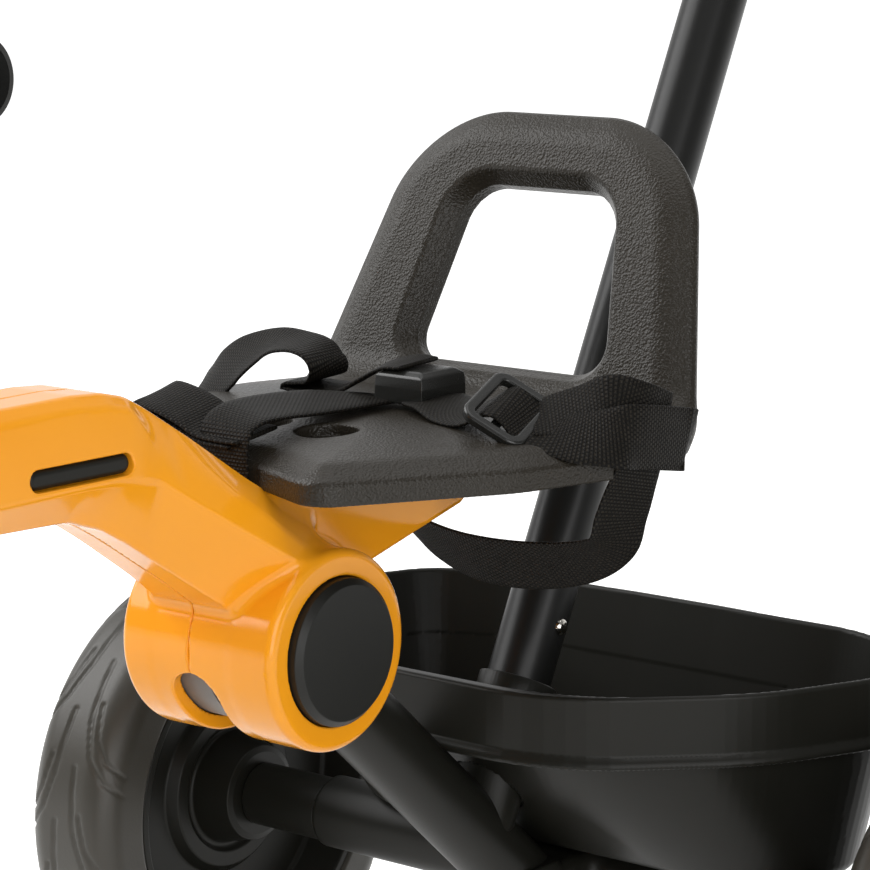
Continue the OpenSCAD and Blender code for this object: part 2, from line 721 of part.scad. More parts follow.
// Basket: an open tub under a deep rim band, with its front wall lying along the leg
function basket_ring(front, side_in, z) =
    let (rear = basket_front + basket_l - side_in)
    let (fx = basket_front_w / 2 - side_in, rx = basket_w / 2 - side_in)
    let (k = (front - basket_front) / basket_l, wx = fx + (rx - fx) * k)
    at_z(rounded([[-wx, front], [wx, front], [rx, rear], [-rx, rear]],
        [basket_front_r, basket_front_r, basket_rear_r, basket_rear_r]), z);
module basket() color(black) at_hub() difference() {
    skin([
        basket_ring(floor_front, floor_in, floor_z),
        basket_ring(basket_front + body_front_in, band_step, -basket_drop - band_h - band_step / 2),
        basket_ring(basket_front, 0, -basket_drop - band_h),
        basket_ring(basket_front, 0, -basket_drop),
        basket_ring(basket_front + rim_lip, rim_lip, -basket_drop),
        basket_ring(basket_front + rim_lip, rim_lip, -basket_drop - band_h + basket_wall),
        basket_ring(basket_front + body_front_in + basket_wall, band_step + basket_wall,
            -basket_drop - band_h - band_step / 2),
        basket_ring(floor_front + basket_wall, floor_in + basket_wall, floor_z + basket_wall)
    ]);
    translate([0, push_back, -push_foot]) rotate([-push_lean, 0, 0]) translate([0, 0, -socket_len])
        cylinder(d = socket_d + 2 * free_gap, h = socket_len - collar_l);
    for (side = [-1, 1]) translate([side * basket_screw_x, axle_back, floor_z - over])
        cylinder(d = screw_d + 2 * run_gap, h = basket_wall + 2 * over);
}
module basket_screws() color(steel) at_axle() for (side = [-1, 1])
    translate([side * basket_screw_x, 0, floor_z + axle_drop + basket_wall]) {
        cylinder(d = screw_head_d, h = screw_head_t);
        translate([0, 0, -basket_screw_l]) cylinder(d = screw_d, h = basket_screw_l);
    }

// Push bar socket on the leg
module push_socket() color(black) difference() {
    at_push() translate([0, 0, -socket_len]) cylinder(d = socket_d, h = socket_len - collar_seat);
    at_hub() at_leg() cylinder(d = leg_d + 2 * run_gap, h = leg_len);
    at_push() translate([0, 0, -spigot_down]) cylinder(d = spigot_d + 2 * run_gap, h = spigot_down);
}
module clip_hole(d) translate([0, 0, clip_up]) rod_x(d, 0, push_d);
module push_spigot() color(steel) at_push() difference() {
    translate([0, 0, -spigot_down]) cylinder(d = spigot_d, h = spigot_down + spigot_up);
    translate([0, 0, -spigot_down - over])
        cylinder(d = spigot_d - 2 * spigot_wall, h = spigot_down + spigot_up + 2 * over);
    clip_hole(clip_d + 2 * free_gap);
}
module socket_collar() color(black) at_push() difference() {
    translate([0, 0, -collar_l]) cylinder(d = collar_d, h = collar_l);
    translate([0, 0, -collar_l - over])
        cylinder(d = socket_d + 2 * run_gap, h = collar_l - collar_seat + over);
    translate([0, 0, -collar_seat - over]) cylinder(d = push_d + 2 * free_gap, h = collar_seat + 2 * over);
}
module snap_clip() color(steel) at_push() {
    translate([0, 0, clip_up]) {
        rod_x(clip_d, clip_x, push_d / 2 + clip_proud - clip_round);
        translate([push_d / 2 + clip_proud - clip_round, 0, 0]) rotate([0, 90, 0])
            cylinder(d1 = clip_d, d2 = clip_d - 2 * clip_round, h = clip_round);
    }
    rotate([90, 0, 0]) linear_extrude(clip_d, center = true) polygon([
        [clip_x, clip_up + clip_d / 2], [clip_x + clip_t, clip_up + clip_d / 2], [clip_t, -clip_up / 3],
        [-clip_t, -clip_up / 3], [-clip_x - clip_t, clip_up], [-clip_x, clip_up],
        [0, -clip_up / 3 + 2 * clip_t]]);
}

// Rear wheels
module spun(side, from) flip(side) translate([from, 0, 0]) rotate([0, 90, 0]) rotate_extrude() children();
module tyre_plan(r, t, w) polygon(rounded(
    [[r - t, 0], [r, 0], [r, w], [r - t, w]],
    [tyre_bead_r, tyre_shoulder_share * w, tyre_shoulder_share * w, tyre_bead_r]));
module rim_plan(r, w, bore, boss, boss_w) difference() {
    union() {
        translate([r - rim_wall, rim_gap]) square([rim_wall, w - 2 * rim_gap]);
        translate([0, w / 2 - rim_disc_t / 2]) square([r - over, rim_disc_t]);
        square([boss / 2, boss_w]);
    }
    translate([-over, -over]) square([bore / 2 + over, boss_w + 2 * over]);
}
module rear_tyre(side) color(rubber) at_axle() spun(side, rear_in)
    tyre_plan(rear_tyre_r, rear_tyre_t, rear_tyre_w);
module rear_rim(side) color(black) at_axle() spun(side, rear_in)
    rim_plan(rear_tyre_r - rear_tyre_t - run_gap, rear_tyre_w, axle_d + 2 * run_gap, rim_boss_d, boss_out);
module hub_cap(side) color(black) at_axle() spun(side, cap_x) polygon([[cap_seat_r, 0], [cap_d / 2, 0],
    [cap_d / 2, cap_t - cap_bevel], [cap_d / 2 - cap_bevel, cap_t], [0, cap_t], [0, cap_t - cap_wall],
    [cap_seat_r, cap_t - cap_wall]]);
module rear_tyre_left() rear_tyre(1);
module rear_tyre_right() rear_tyre(-1);
module rear_rim_left() rear_rim(1);
module rear_rim_right() rear_rim(-1);
module hub_cap_left() hub_cap(1);
module hub_cap_right() hub_cap(-1);

// Push bar
module push_tube() color(black) at_push() difference() {
    translate([0, 0, -collar_seat]) cylinder(d = push_d, h = collar_seat + push_top);
    translate([0, 0, -collar_seat - over])
        cylinder(d = push_d - 2 * push_wall, h = collar_seat + push_top + 2 * over);
    clip_hole(clip_d + 2 * free_gap);
}
module handle_tee() color(black) at_push() difference() {
    union() {
        translate([0, 0, handle_len - tee_sleeve]) cylinder(d = handle_d, h = tee_sleeve);
        translate([0, 0, handle_len]) rod_x(handle_d, -tee_half, tee_half);
    }
    translate([0, 0, handle_len]) rod_x(handle_bar_d + 2 * run_gap, -handle_l, handle_l);
    translate([0, 0, handle_len - tee_sleeve - over])
        cylinder(d = push_d + 2 * run_gap, h = push_top - handle_len + tee_sleeve + over);
}
module handle_bar() color(steel) at_push() translate([0, 0, handle_len])
    rod_x(handle_bar_d, -handle_l / 2 + tee_half / 4, handle_l / 2 - tee_half / 4);
module handle_grip(side) color(rubber) at_push() translate([0, 0, handle_len]) flip(side) difference() {
    rod_x(handle_d, tee_half, handle_l / 2);
    rod_x(handle_bar_d + 2 * run_gap, 0, handle_l / 2 - tee_half / 4);
}
module handle_grip_left() handle_grip(1);
module handle_grip_right() handle_grip(-1);

// Steering
module blade(side) flip(side) slab_x(rounded(
    [[-blade_w / 2, -blade_w / 2], [blade_w / 2, -blade_w / 2], [blade_w / 2, crown_low + blade_w / 2],
     [-blade_w / 2, crown_low + blade_w / 2]], [blade_w / 3, blade_w / 3, over, over]),
    blade_in, blade_in + blade_t);
module fork() color(black) at_front() difference() {
    union() {
        blade(1);
        blade(-1);
        translate([-blade_in - over, -blade_w / 2, crown_low])
            cube([2 * blade_in + 2 * over, blade_w, blade_w / 2]);
        translate([0, 0, crown_low]) cylinder(d = head_d, h = crown_top - crown_low);
    }
    translate([0, 0, crown_top - column_in]) cylinder(d = column_d + 2 * run_gap, h = column_in + over);
    rod_x(crank_d + 2 * run_gap, -blade_in - blade_t - over, blade_in + blade_t + over);
}
module bolt_hole(d) translate([0, 0, bolt_up]) rotate([90, 0, 0])
    cylinder(d = d, h = cover_d + 2 * over, center = true);
module steering_column() color(steel) at_front() difference() {
    translate([0, 0, crown_top - column_in]) cylinder(d = column_d, h = column_top - crown_top + column_in);
    translate([0, 0, crown_top - column_in - over])
        cylinder(d = column_d - 2 * column_wall, h = column_top - crown_top + column_in + 2 * over);
    bolt_hole(bolt_d + 2 * free_gap);
}
module handlebar() color(steel) at_front() translate([0, 0, bar_up]) rod_x(bar_d, -bar_w / 2, bar_w / 2);
module handlebar_cover() color(orange) at_front() difference() {
    slab_x(rounded([[-cover_d / 2, cover_low], [cover_d / 2, cover_low], [cover_d / 2, cover_low + cover_h],
        [-cover_d / 2, cover_low + cover_h]], [cover_r, cover_r, cover_r, cover_r]),
        -cover_w / 2, cover_w / 2);
    translate([0, 0, bar_up]) rod_x(bar_d + 2 * run_gap, -cover_w, cover_w);
    translate([0, 0, cover_low - over])
        cylinder(d = column_d + 2 * run_gap, h = column_top - cover_low + over);
    bolt_hole(bolt_d + 2 * free_gap);
}
module clamp_bolt() color(steel) at_front() translate([0, 0, bolt_up]) rotate([90, 0, 0]) {
    cylinder(d = bolt_d, h = cover_d, center = true);
    for (side = [-1, 1]) translate([0, 0, side * (cover_d + bolt_head_t) / 2])
        cylinder(d = 2 * bolt_d, h = bolt_head_t, center = true);
}
module bar_grip(side) color(rubber) at_front() translate([0, 0, bar_up]) flip(side) difference() {
    rod_x(grip_d, bar_w / 2 - grip_l, bar_w / 2 + grip_end);
    rod_x(bar_d + 2 * run_gap, 0, bar_w / 2);
}
module bar_grip_left() bar_grip(1);
module bar_grip_right() bar_grip(-1);

// Front wheel, cranks and pedals
module front_tyre() color(rubber) at_front() spun(1, -front_tyre_w / 2)
    tyre_plan(front_tyre_r, front_tyre_t, front_tyre_w);
module front_rim() color(black) at_front() spun(1, -front_tyre_w / 2)
    rim_plan(front_tyre_r - front_tyre_t - run_gap, front_tyre_w, crank_d + 2 * run_gap, rim_boss_d,
        front_tyre_w);
module crank_axle() color(steel) at_front() rod_x(crank_d, -crank_x - crank_t, crank_x + crank_t);
module at_pedal(side) at_front() rotate([side * 90 + crank_turn, 0, 0]) translate([0, 0, crank_l]) children();
module crank_arm(side) color(black) difference() {
    union() {
        at_front() rotate([side * 90 + crank_turn, 0, 0]) flip(side) translate([crank_x, 0, crank_l / 2])
            rotate([0, 90, 0]) linear_extrude(crank_t) stadium(crank_l + crank_w, crank_w);
        at_pedal(side) flip(side) rod_x(spindle_d, crank_x, crank_x + crank_t + pedal_gap + pedal_w);
    }
    at_front() rod_x(crank_d + 2 * run_gap, -2 * crank_x, 2 * crank_x);
}
module crank_arm_left() crank_arm(1);
module crank_arm_right() crank_arm(-1);
module at_tread(side) at_pedal(side) flip(side) rotate([-side * 90 - crank_turn + rake, 0, 0]) children();
module pedal(side) color(rubber) at_tread(side) difference() {
    slab_x(rounded([[-pedal_l / 2, -pedal_t / 2], [pedal_l / 2, -pedal_t / 2], [pedal_l / 2, pedal_t / 2],
        [-pedal_l / 2, pedal_t / 2]], [pedal_t / 3, pedal_t / 3, pedal_t / 3, pedal_t / 3]),
        crank_x + crank_t + pedal_gap, crank_x + crank_t + pedal_gap + pedal_w);
    rod_x(spindle_d + 2 * run_gap, crank_x, crank_x + crank_t + 2 * pedal_gap + pedal_w);
}
module pedal_left() pedal(1);
module pedal_right() pedal(-1);

beam_shell_left();
beam_shell_right();
shell_screws();
slot_insert_left();
slot_insert_right();
pivot_shaft();
head_bush_upper();
head_bush_lower();
seat_shell();
seat_screws();
crotch_strap();
waist_strap_left();
waist_strap_right();
buckle_housing();
buckle_tongue();
strap_slider();
hub_button_left();
hub_button_right();
button_spring_left();
button_spring_right();
pivot_drum();
rear_leg();
cross_member();
axle_sleeve_left();
axle_sleeve_right();
axle_rod();
axle_nuts();
basket();
basket_screws();
push_socket();
push_spigot();
socket_collar();
snap_clip();
rear_tyre_left();
rear_rim_left();
hub_cap_left();
rear_tyre_right();
rear_rim_right();
hub_cap_right();
push_tube();
handle_tee();
handle_bar();
handle_grip_left();
handle_grip_right();
fork();
steering_column();
handlebar();
handlebar_cover();
bar_grip_left();
bar_grip_right();
clamp_bolt();
front_tyre();
front_rim();
crank_axle();
crank_arm_left();
crank_arm_right();
pedal_left();
pedal_right();
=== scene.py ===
import json
import math

import bpy
import numpy as np
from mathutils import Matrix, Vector

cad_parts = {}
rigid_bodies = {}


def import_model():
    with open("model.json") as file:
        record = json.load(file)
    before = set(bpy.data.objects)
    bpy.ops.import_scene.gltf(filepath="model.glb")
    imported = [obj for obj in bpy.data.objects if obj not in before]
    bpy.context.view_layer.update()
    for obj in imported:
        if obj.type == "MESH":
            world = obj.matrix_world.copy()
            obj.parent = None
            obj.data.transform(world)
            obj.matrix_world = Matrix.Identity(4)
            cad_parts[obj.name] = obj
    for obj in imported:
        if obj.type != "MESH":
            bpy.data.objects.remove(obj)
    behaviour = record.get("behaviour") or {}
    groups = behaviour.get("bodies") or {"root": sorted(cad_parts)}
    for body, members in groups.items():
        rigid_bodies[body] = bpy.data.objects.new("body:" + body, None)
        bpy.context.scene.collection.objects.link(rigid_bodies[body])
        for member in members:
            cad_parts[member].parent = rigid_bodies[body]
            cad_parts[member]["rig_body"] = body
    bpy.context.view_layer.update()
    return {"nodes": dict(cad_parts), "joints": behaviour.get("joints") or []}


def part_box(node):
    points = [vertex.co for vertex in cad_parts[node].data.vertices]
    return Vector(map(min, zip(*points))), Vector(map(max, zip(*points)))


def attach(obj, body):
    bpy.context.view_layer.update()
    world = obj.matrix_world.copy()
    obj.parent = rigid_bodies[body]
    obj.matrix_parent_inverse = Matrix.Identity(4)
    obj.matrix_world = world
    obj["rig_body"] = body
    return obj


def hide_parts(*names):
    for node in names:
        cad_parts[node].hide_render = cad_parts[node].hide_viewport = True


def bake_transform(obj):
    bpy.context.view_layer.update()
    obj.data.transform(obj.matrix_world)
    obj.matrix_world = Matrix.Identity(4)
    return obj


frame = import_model()
joints = {j["name"]: j for j in frame["joints"]}
hubAt = np.array(joints["rear_fold"]["pos_m"])  # every shape below is in millimetres from the hub's centre
print("frame loaded")


# Places from the frame

def fromHub(point):
    return (np.array(point) - hubAt) * 1000


def nodeBox(node):
    low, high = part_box(node)
    return fromHub(low), fromHub(high)


def unit(v):
    v = np.array(v, float)
    return v / np.linalg.norm(v)


rearAxle = fromHub(joints["rear_wheel_left_spin"]["pos_m"])
frontAxle = fromHub(joints["steer"]["pos_m"])
steerAxis = unit(joints["steer"]["axis"])
steerBack = np.array([0, steerAxis[2], -steerAxis[1]])
pushAxis = unit(joints["push_bar_lift"]["axis"])
collarLow, collarHigh = nodeBox("socket_collar")
collarLength = 13
pushFoot = (collarLow + collarHigh) / 2 + pushAxis * collarLength / 2
handleAt = np.mean(nodeBox("handle_bar"), axis=0)
barAt = np.mean(nodeBox("handlebar"), axis=0)
acrossX = np.array([1.0, 0, 0])
sides = (("left", 1), ("right", -1))


# Shape helpers: distance fields, turned profiles and webbing

def roundAnd(a, b, r):  # r is the radius of the rounded edge
    u = np.maximum(a + r, 0)
    v = np.maximum(b + r, 0)
    return np.minimum(np.maximum(a, b), -r) + np.sqrt(u * u + v * v)


def roundOr(a, b, r):
    return -roundAnd(-a, -b, r)


def boxField(sizes, r):
    gaps = [np.abs(p) - half + r for p, half in sizes]
    outside = np.sqrt(sum(np.maximum(g, 0) ** 2 for g in gaps))
    inside = gaps[0]
    for g in gaps[1:]:
        inside = np.maximum(inside, g)
    return outside + np.minimum(inside, 0) - r


def edgeField(x, z, start, end):
    dx = end[0] - start[0]
    dz = end[1] - start[1]
    return ((z - start[1]) * dx - (x - start[0]) * dz) / np.sqrt(dx * dx + dz * dz)


def segmentGap(x, y, start, end):  # squared distance
    (ax, ay), ex, ey = start, end[0] - start[0], end[1] - start[1]
    along = np.clip(((x - ax) * ex + (y - ay) * ey) / (ex * ex + ey * ey), 0, 1)
    return (x - ax - along * ex) ** 2 + (y - ay - along * ey) ** 2


def polygonField(x, y, points):
    nearest = np.full(np.broadcast(x, y).shape, 1e9, np.float32)
    inside = np.zeros(nearest.shape, bool)
    for start, end in zip(points, points[1:] + points[:1]):
        nearest = np.minimum(nearest, segmentGap(x, y, start, end))
        (ax, ay), (bx, by) = start, end
        inside ^= ((ay > y) != (by > y)) & (x < (bx - ax) * (y - ay) / (by - ay if by != ay else 1e-9) + ax)
    return np.where(inside, -1, 1) * np.sqrt(nearest)


def soft(at, places, values, reach):
    return sum(np.interp(at + k * reach, places, values) for k in (-1, -0.5, 0, 0.5, 1)) / 5


def filleted(points, radii, closed=True, steps=7):
    made = []
    count = len(points)
    for i, r in enumerate(radii):
        here = np.array(points[i], float)
        if r == 0 or (not closed and i in (0, count - 1)):
            made.append(tuple(here))
            continue
        back = unit(np.array(points[i - 1], float) - here)
        on = unit(np.array(points[(i + 1) % count], float) - here)
        half = math.acos(max(-1, min(1, back @ on))) / 2
        reach = r / math.tan(half)
        centre = here + unit(back + on) * r / math.sin(half)
        first = here + back * reach - centre
        last = here + on * reach - centre
        angle = math.acos(max(-1, min(1, unit(first) @ unit(last))))
        for k in range(steps + 1):
            t = k / steps
            mix = math.sin((1 - t) * angle) * first + math.sin(t * angle) * last
            made.append(tuple(centre + mix / max(math.sin(angle), 1e-6)))
    return made


def bothSides(size):
    half = filleted(size["plan"], size["planR"], closed=False)
    return half + [(-x, y) for x, y in reversed(half)]


def pipe(long, outer, inner, rounds):
    return filleted([(0, inner), (0, outer), (long, outer), (long, inner)], rounds)


def intoScene(name, data):
    made = bpy.data.objects.new(name, data)
    bpy.context.scene.collection.objects.link(made)
    return made


def meshPiece(name, points, faces):
    mesh = bpy.data.meshes.new(name)
    world = hubAt + np.asarray(points, float) / 1000
    mesh.from_pydata(world.tolist(), [], faces)
    mesh.validate()
    mesh.shade_smooth()
    return intoScene(name, mesh)


def netPiece(name, field, low, high, step, flip=False):
    axes = [np.arange(a, b + step, step, dtype=np.float32) for a, b in zip(low, high)]
    n = [len(a) for a in axes]
    grid = np.empty(n, np.float32)
    slab = 16  # layers at a time, to keep memory small
    for a in range(0, n[0], slab):
        grid[a:a + slab] = field(axes[0][a:a + slab, None, None], axes[1][None, :, None],
                                 axes[2][None, None, :])
    inside = grid < 0
    corners = [(i, j, k) for i in (0, 1) for j in (0, 1) for k in (0, 1)]

    def shifted(block, c):
        return block[c[0]:n[0] - 1 + c[0], c[1]:n[1] - 1 + c[1], c[2]:n[2] - 1 + c[2]]

    total = sum(shifted(inside, c).astype(np.int8) for c in corners)
    cells = np.argwhere((total > 0) & (total < 8))
    number = np.full([m - 1 for m in n], -1, np.int32)
    number[tuple(cells.T)] = np.arange(len(cells))
    summed = np.zeros((len(cells), 3))
    hits = np.zeros(len(cells))
    for c in corners:
        for axis in range(3):
            if c[axis]:
                continue
            other = list(c)
            other[axis] = 1
            a = grid[tuple((cells + c).T)]
            b = grid[tuple((cells + other).T)]
            cut = (a < 0) != (b < 0)
            share = np.where(cut, a / np.where(cut, a - b, 1), 0)
            summed[cut] += np.array(c)
            summed[cut, axis] += share[cut]
            hits += cut
    points = np.array(low) + step * (cells + summed / hits[:, None])
    quads = []
    for axis in range(3):
        u, v = [k for k in range(3) if k != axis]
        ends = [slice(1, m - 1) for m in n]
        ends[axis] = slice(0, n[axis] - 1)
        nextEnds = list(ends)
        nextEnds[axis] = slice(1, n[axis])
        first = inside[tuple(ends)]
        crossed = np.argwhere(first != inside[tuple(nextEnds)])
        edge = crossed + [e.start for e in ends]
        du = np.eye(3, dtype=int)[u]
        dv = np.eye(3, dtype=int)[v]
        around = [edge - du - dv, edge - dv, edge, edge - du]
        made = np.stack([number[tuple(c.T)] for c in around], 1)
        turned = first[tuple(crossed.T)] == (axis == 1)
        made[turned] = made[turned][:, ::-1]
        quads.append(made)
    quads = np.concatenate(quads)

    def slope(p):
        reach = 0.05
        return np.stack([field(*(p + r).T) - field(*(p - r).T) for r in np.eye(3) * reach], 1) / (2 * reach)

    for _ in range(3):
        g = slope(points)
        move = field(*points.T)[:, None] * g / np.maximum((g * g).sum(1), 0.2)[:, None]
        size = np.linalg.norm(move, axis=1, keepdims=True)
        points = points - move * np.minimum(1, 0.5 * step / np.maximum(size, 1e-9))
    normals = slope(points)
    normals /= np.maximum(np.linalg.norm(normals, axis=1, keepdims=True), 1e-9)
    if flip:
        points = points * [-1, 1, 1]
        normals = normals * [-1, 1, 1]
        quads = quads[:, ::-1]
    mesh = bpy.data.meshes.new(name)
    mesh.vertices.add(len(points))
    mesh.vertices.foreach_set("co", (hubAt + points / 1000).astype(np.float32).ravel())
    mesh.loops.add(quads.size)
    mesh.loops.foreach_set("vertex_index", quads.astype(np.int32).ravel())
    mesh.polygons.add(len(quads))
    mesh.polygons.foreach_set("loop_start", np.arange(0, quads.size, 4, dtype=np.int32))
    mesh.update(calc_edges=True)
    mesh.shade_smooth()
    mesh.normals_split_custom_set_from_vertices(normals.tolist())
    print("moulded", name, len(quads), "faces")
    return intoScene(name, mesh)


def ringFaces(rows, turns, closed):
    faces = []
    for i in range(rows if closed else rows - 1):
        a, b = i * turns, (i + 1) % rows * turns
        faces += [(a + k, b + k, b + (k + 1) % turns, a + (k + 1) % turns) for k in range(turns)]
    return faces


def lathe(name, profile, start, axis, closed=True, turns=120):
    along = unit(axis)
    side = unit(np.cross(along, [0, 0, 1] if abs(along[2]) < 0.9 else [0, 1, 0]))
    other = np.cross(along, side)
    angle = np.linspace(0, 2 * math.pi, turns, endpoint=False)
    ring = np.cos(angle)[:, None] * side + np.sin(angle)[:, None] * other
    points = np.concatenate([start + along * a + ring * max(r, 0.02) for a, r in profile])
    rows = len(profile)
    faces = ringFaces(rows, turns, closed)
    if not closed:
        faces.append(tuple(range(turns)))
        faces.append(tuple(range(rows * turns - 1, (rows - 1) * turns - 1, -1)))
    piece = meshPiece(name, points, faces)
    flat = piece.modifiers.new("even flats", "WEIGHTED_NORMAL")
    flat.keep_sharp = True
    return piece


def along(stops, spacing=1.6):
    rows = []
    for stop in stops:  # a stop without a direction keeps the one before
        rows.append(stop if len(stop) > 3 else stop + rows[-1][3:])
    p = np.array(rows, float)
    p = np.vstack([2 * p[0] - p[1], p, 2 * p[-1] - p[-2]])
    made = []
    for i in range(1, len(p) - 2):
        span = np.linalg.norm(p[i + 1, :3] - p[i, :3])
        count = max(2, int(span / spacing))
        for t in np.arange(count) / count:
            a = 2 * p[i]
            b = p[i + 1] - p[i - 1]
            c = 2 * p[i - 1] - 5 * p[i] + 4 * p[i + 1] - p[i + 2]
            d = -p[i - 1] + 3 * p[i] - 3 * p[i + 1] + p[i + 2]
            made.append((a + b * t + c * t * t + d * t ** 3) / 2)
    made.append(p[-2])
    return np.array(made)


def webStrap(name, stops, width=25.0, thick=1.7):
    line = along(stops)
    centre = line[:, :3]
    ahead = np.gradient(centre, axis=0)
    ahead /= np.linalg.norm(ahead, axis=1, keepdims=True)
    across = line[:, 3:6]
    across = across - (across * ahead).sum(1, keepdims=True) * ahead
    across /= np.linalg.norm(across, axis=1, keepdims=True)
    over = np.cross(ahead, across)
    shares = np.array([-1, -0.97, -0.8, -0.5, -0.2, 0.2, 0.5, 0.8, 0.97, 1])
    thin = np.array([0.25, 0.8, 1, 1, 1, 1, 1, 1, 0.8, 0.25])
    loop = [(s, t) for s, t in zip(shares, thin)] + [(s, -t) for s, t in zip(shares[::-1], thin[::-1])]
    points = np.stack([centre + across * s * width / 2 + over * t * thick / 2 for s, t in loop], 1)
    rows, count = points.shape[:2]
    faces = [(i * count + k, i * count + (k + 1) % count, (i + 1) * count + (k + 1) % count,
              (i + 1) * count + k)
             for i in range(rows - 1) for k in range(count)]
    faces.append(tuple(range(count - 1, -1, -1)))
    faces.append(tuple(range((rows - 1) * count, rows * count)))
    piece = meshPiece(name, points.reshape(-1, 3), faces)
    run = np.concatenate([[0], np.cumsum(np.linalg.norm(np.diff(centre, axis=0), axis=1))])
    uv = piece.data.uv_layers.new(name="weave")
    index = np.empty(len(piece.data.loops), np.int32)
    piece.data.loops.foreach_get("vertex_index", index)
    place = np.stack([np.array([s for s, t in loop])[index % count] * width / 2000,
                      run[index // count] / 1000], 1)
    uv.data.foreach_set("uv", place.astype(np.float32).ravel())
    return piece, run[-1] / 1000


# Materials

def linear(hexText):
    parts = [int(hexText[i:i + 2], 16) / 255 for i in (1, 3, 5)]
    return [c / 12.92 if c <= 0.04045 else ((c + 0.055) / 1.055) ** 2.4 for c in parts] + [1]


def addNode(tree, kind, settings=(), links=()):
    node = tree.nodes.new(kind)
    for key, value in dict(settings).items():
        if isinstance(key, int) or key in node.inputs:
            node.inputs[key].default_value = value
        else:
            setattr(node, key, value)
    for key, source in dict(links).items():
        tree.links.new(source, node.inputs[key])
    return node


cloudMm = 35.0  # colours drift over about this distance


def newSurface(name, shader):
    made = bpy.data.materials.new(name)
    made.use_nodes = True
    surface = made.node_tree.nodes["Principled BSDF"]
    for key, value in dict(shader).items():
        surface.inputs[key].default_value = value
    return made, made.node_tree, surface


def newFinish(name, colours, rough, grainMm, depthMm, shader=(), pebble=False, detail=2.0):
    made, tree, surface = newSurface(name, shader)
    place = addNode(tree, "ShaderNodeTexCoord").outputs["Object"]
    cloud = addNode(tree, "ShaderNodeTexNoise", {"Scale": 1000 / cloudMm, "Detail": 3.0}, {"Vector": place})
    blend = addNode(tree, "ShaderNodeMix",
                    {"data_type": "RGBA", 6: linear(colours[0]), 7: linear(colours[1])},
                    {0: cloud.outputs["Fac"]})
    tree.links.new(blend.outputs[2], surface.inputs["Base Color"])
    if pebble:
        bent = addNode(tree, "ShaderNodeTexNoise", {"Scale": 1000 / grainMm, "Detail": 1.0},
                       {"Vector": place})
        warp = [grainMm / 1400] * 3  # bends the pebbles by up to 0.7 of their pitch
        pushed = addNode(tree, "ShaderNodeVectorMath", {"operation": "MULTIPLY_ADD", 1: warp},
                         {0: bent.outputs["Color"], 2: place})
        grain = addNode(tree, "ShaderNodeTexVoronoi",
                        {"feature": "SMOOTH_F1", "Scale": 1000 / grainMm, "Smoothness": 0.6},
                        {"Vector": pushed.outputs[0]}).outputs["Distance"]
    else:
        grain = addNode(tree, "ShaderNodeTexNoise", {"Scale": 1000 / grainMm, "Detail": detail},
                        {"Vector": place}).outputs["Fac"]
    gloss = addNode(tree, "ShaderNodeMapRange", {"To Min": rough[0], "To Max": rough[1]}, {"Value": grain})
    tree.links.new(gloss.outputs[0], surface.inputs["Roughness"])
    relief = addNode(tree, "ShaderNodeBump", {"Strength": 1.0, "Distance": depthMm / 1000, "invert": pebble},
                     {"Height": grain})
    tree.links.new(relief.outputs[0], surface.inputs["Normal"])
    return made


plastic = {"IOR": 1.5, "Specular IOR Level": 0.26}
# injection-moulded ABS with a polished tool: even saturated orange, wide soft highlights and
# the faintest waviness
orangeAbs = newFinish("orange moulded ABS", ("#FAA11A", "#FCA620"), (0.11, 0.15), 4, 0.0012,
                      {"IOR": 1.53, "Specular IOR Level": 0.33})
# polypropylene from a spark-etched tool: leathery pebbles about 1 mm apart, dull with small bright edges
pebbledPp = newFinish("black pebbled polypropylene", ("#24201A", "#2D2922"), (0.28, 0.44),
                      1.0, 0.3, {"IOR": 1.5, "Specular IOR Level": 0.28}, pebble=True)
# polypropylene from a fine satin tool: deep black with broad blurred highlights
satinPp = newFinish("black satin polypropylene", ("#1A1A16", "#1F1E1A"), (0.34, 0.42), 0.9,
                    0.012, {"IOR": 1.5, "Specular IOR Level": 0.18})
# satin tool again, on the small push discs: a little flatter
discPp = newFinish("black push disc polypropylene", ("#1B1B19", "#1F1F1C"), (0.38, 0.46),
                   0.8, 0.015, plastic)
# acetal: dense black with crisp waxy highlights
acetal = newFinish("black moulded acetal", ("#1A1A18", "#20201E"), (0.2, 0.3), 1.2, 0.01,
                   {"IOR": 1.48, "Specular IOR Level": 0.5})
# foamed EVA tyre: charcoal skin with a soft sheen and a fine closed-cell grain
evaTyre = newFinish("charcoal moulded EVA foam", ("#33302A", "#3D3A33"), (0.34, 0.46), 1.1, 0.05,
                    {"IOR": 1.5, "Specular IOR Level": 0.45}, detail=4.0)
# powder coat on steel tube: satin black with slight orange peel
powderTube = newFinish("black powder coated steel", ("#161615", "#1B1B1A"), (0.3, 0.38), 1.6,
                       0.006, plastic)
# zinc-plated steel: bright grey with a cloudy sheen
zincSteel = newFinish("zinc plated steel", ("#A9ABAD", "#BFC0C1"), (0.22, 0.36), 2.5, 0.006,
                      {"Metallic": 1.0})
# nickel-plated spring steel: mirror-like and slightly warm
nickel = newFinish("nickel plated spring steel", ("#C9C5BD", "#D6D2CA"), (0.1, 0.16), 2.0, 0.003,
                   {"Metallic": 1.0})
# glass-filled nylon: mid grey, dry and mottled
nylonGrey = newFinish("grey glass filled nylon", ("#615D59", "#6F6B67"), (0.42, 0.55), 0.9,
                      0.02, {"IOR": 1.53})
# thermoplastic elastomer: soft black grip with a dry bloom
tpeGrip = newFinish("black moulded elastomer", ("#1A1A19", "#21211F"), (0.58, 0.72), 0.7, 0.03,
                    {"IOR": 1.49})


